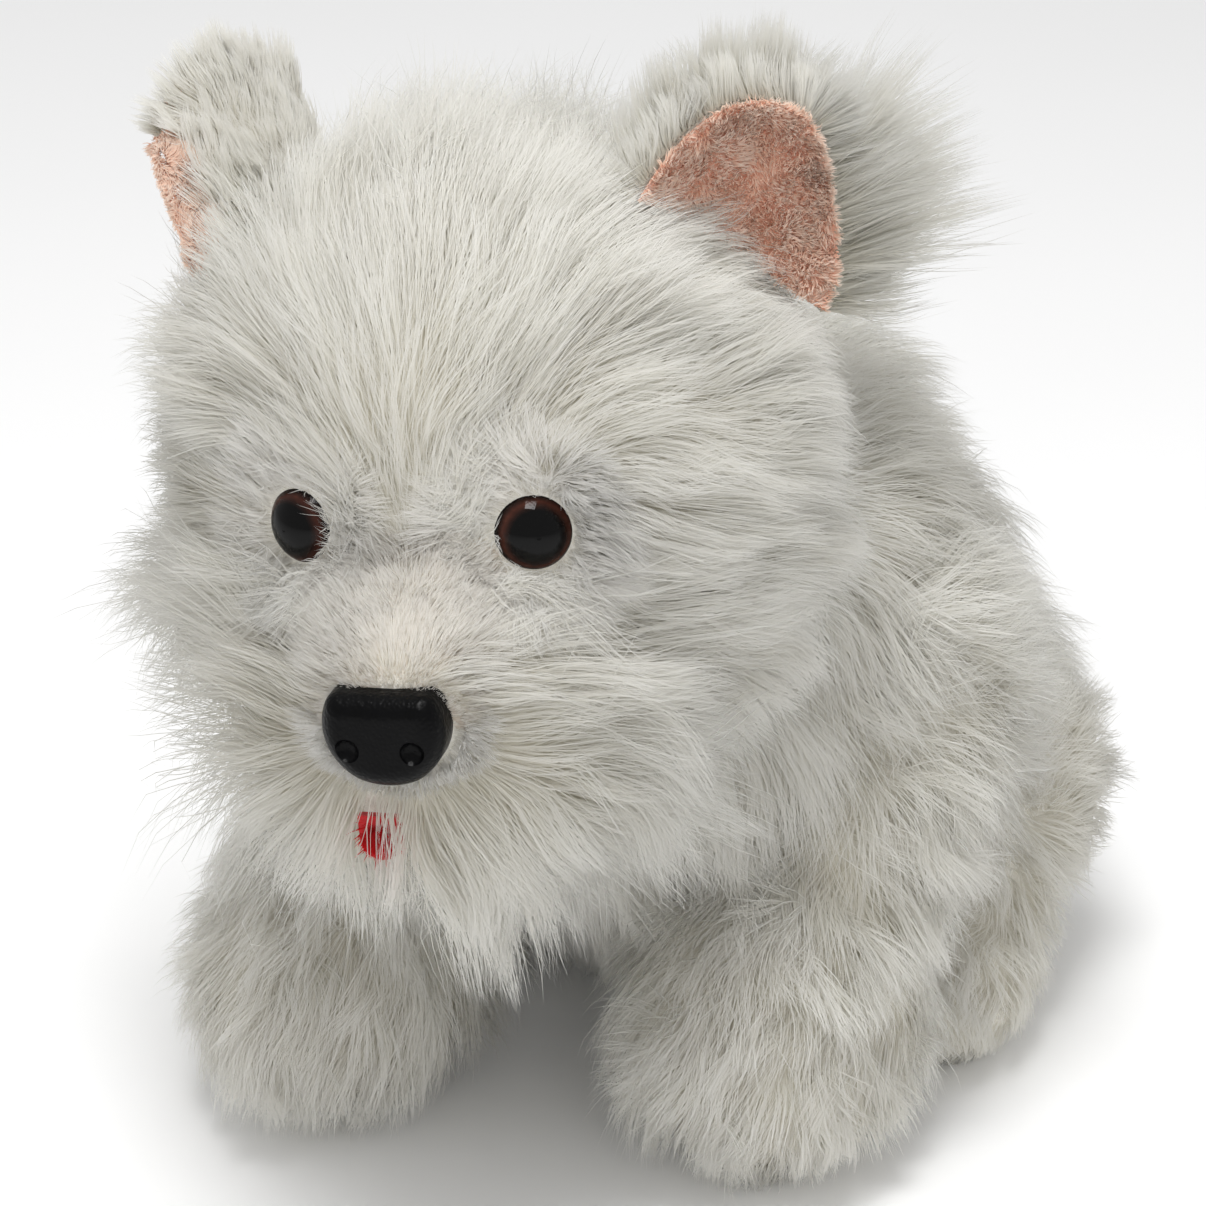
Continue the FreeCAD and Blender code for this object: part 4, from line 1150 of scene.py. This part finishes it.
def dress_hard_parts():
    """Finishes for the CAD pieces that are shown as they are."""
    nodes = frame["nodes"]
    for side, sign in SIDES:
        centre = tuple(box_middle(f"{side}_eye_dome"))
        glass = eye_material(f"{side}_eye_glass", centre, tuple(eye_axis(sign)))
        set_material(nodes[f"{side}_eye_dome"], glass)
        dark = moulded_material(f"{side}_eye_plate_plastic", (0.010, 0.006, 0.005), 0.3, 900, 0.00005)
        set_material(nodes[f"{side}_eye_post"], dark)
    for name, washer in (("left", "left_eye_washer"), ("right", "right_eye_washer"), ("nose", "nose_washer")):
        plastic = moulded_material(f"{name}_washer_plastic", (0.72, 0.72, 0.70), 0.5, 700, 0.0001)
        set_material(nodes[washer], plastic)
    black = moulded_material("nose_plastic", (0.0010, 0.0010, 0.0012), 0.30, 1500, 0.0003)
    set_material(nodes["nose"], black)
    felt = backing_material("red_felt", (0.62, 0.015, 0.02), (0.45, 0.008, 0.012), 1800)
    set_material(nodes["tongue"], felt)


def set_material(made, material):
    made.data.materials.clear()
    made.data.materials.append(material)


# ---- studio

def studio():
    bpy.ops.mesh.primitive_plane_add(size=12)
    floor = bpy.context.object
    floor.name = "studio_floor"
    material, tree, shader = new_material("pale_floor", 0.9)
    place = node(tree, "ShaderNodeTexCoord").outputs["Object"]
    soft = node(tree, "ShaderNodeTexNoise", {"Vector": place, "Scale": 3.0})
    put(tree, shader.inputs["Base Color"],
        ramp(tree, soft.outputs["Fac"], ((0.3, (0.96,) * 3), (0.7, (0.98,) * 3))))
    floor.data.materials.append(material)
    world = bpy.data.worlds.new("studio")
    bpy.context.scene.world = world
    world.use_nodes = True
    world.node_tree.nodes["Background"].inputs["Color"].default_value = (1, 1, 1, 1)
    world.node_tree.nodes["Background"].inputs["Strength"].default_value = 0.60
    for name, place, power, size in (("key", (0.12, -0.40, 1.35), 11.5, 0.5),
                                     ("fill", (0.9, -1.3, 0.9), 3, 1.0)):
        light = bpy.data.lights.new(name, "AREA")
        light.energy = power
        light.size = size
        lamp = add_object(name, light)
        lamp.location = place
        lamp.visible_glossy = name == "key"
        lamp.rotation_euler = (Vector((0, -0.08, 0.1)) - lamp.location).to_track_quat("-Z", "Y").to_euler()
    bpy.context.scene.view_settings.view_transform = "Standard"


def camera():
    """From the dog's left front and above, with a long lens."""
    target = Vector((0, -0.075, 0.112))
    azimuth, elevation, distance = math.radians(30), math.radians(25), 0.76
    back = Vector((math.sin(azimuth) * math.cos(elevation), -math.cos(azimuth) * math.cos(elevation),
                   math.sin(elevation)))
    data = bpy.data.cameras.new("camera")
    data.angle = math.radians(18.6)
    made = add_object("camera", data)
    made.location = target + back * distance
    made.rotation_euler = (-back).to_track_quat("-Z", "Y").to_euler()
    bpy.context.scene.camera = made


skins = make_skins()
torso_fur(skins)
leg_fur(skins)
tail_fur(skins)
neck_fur(skins)
head_fur(skins)
make_ears()
dress_hard_parts()
studio()
camera()
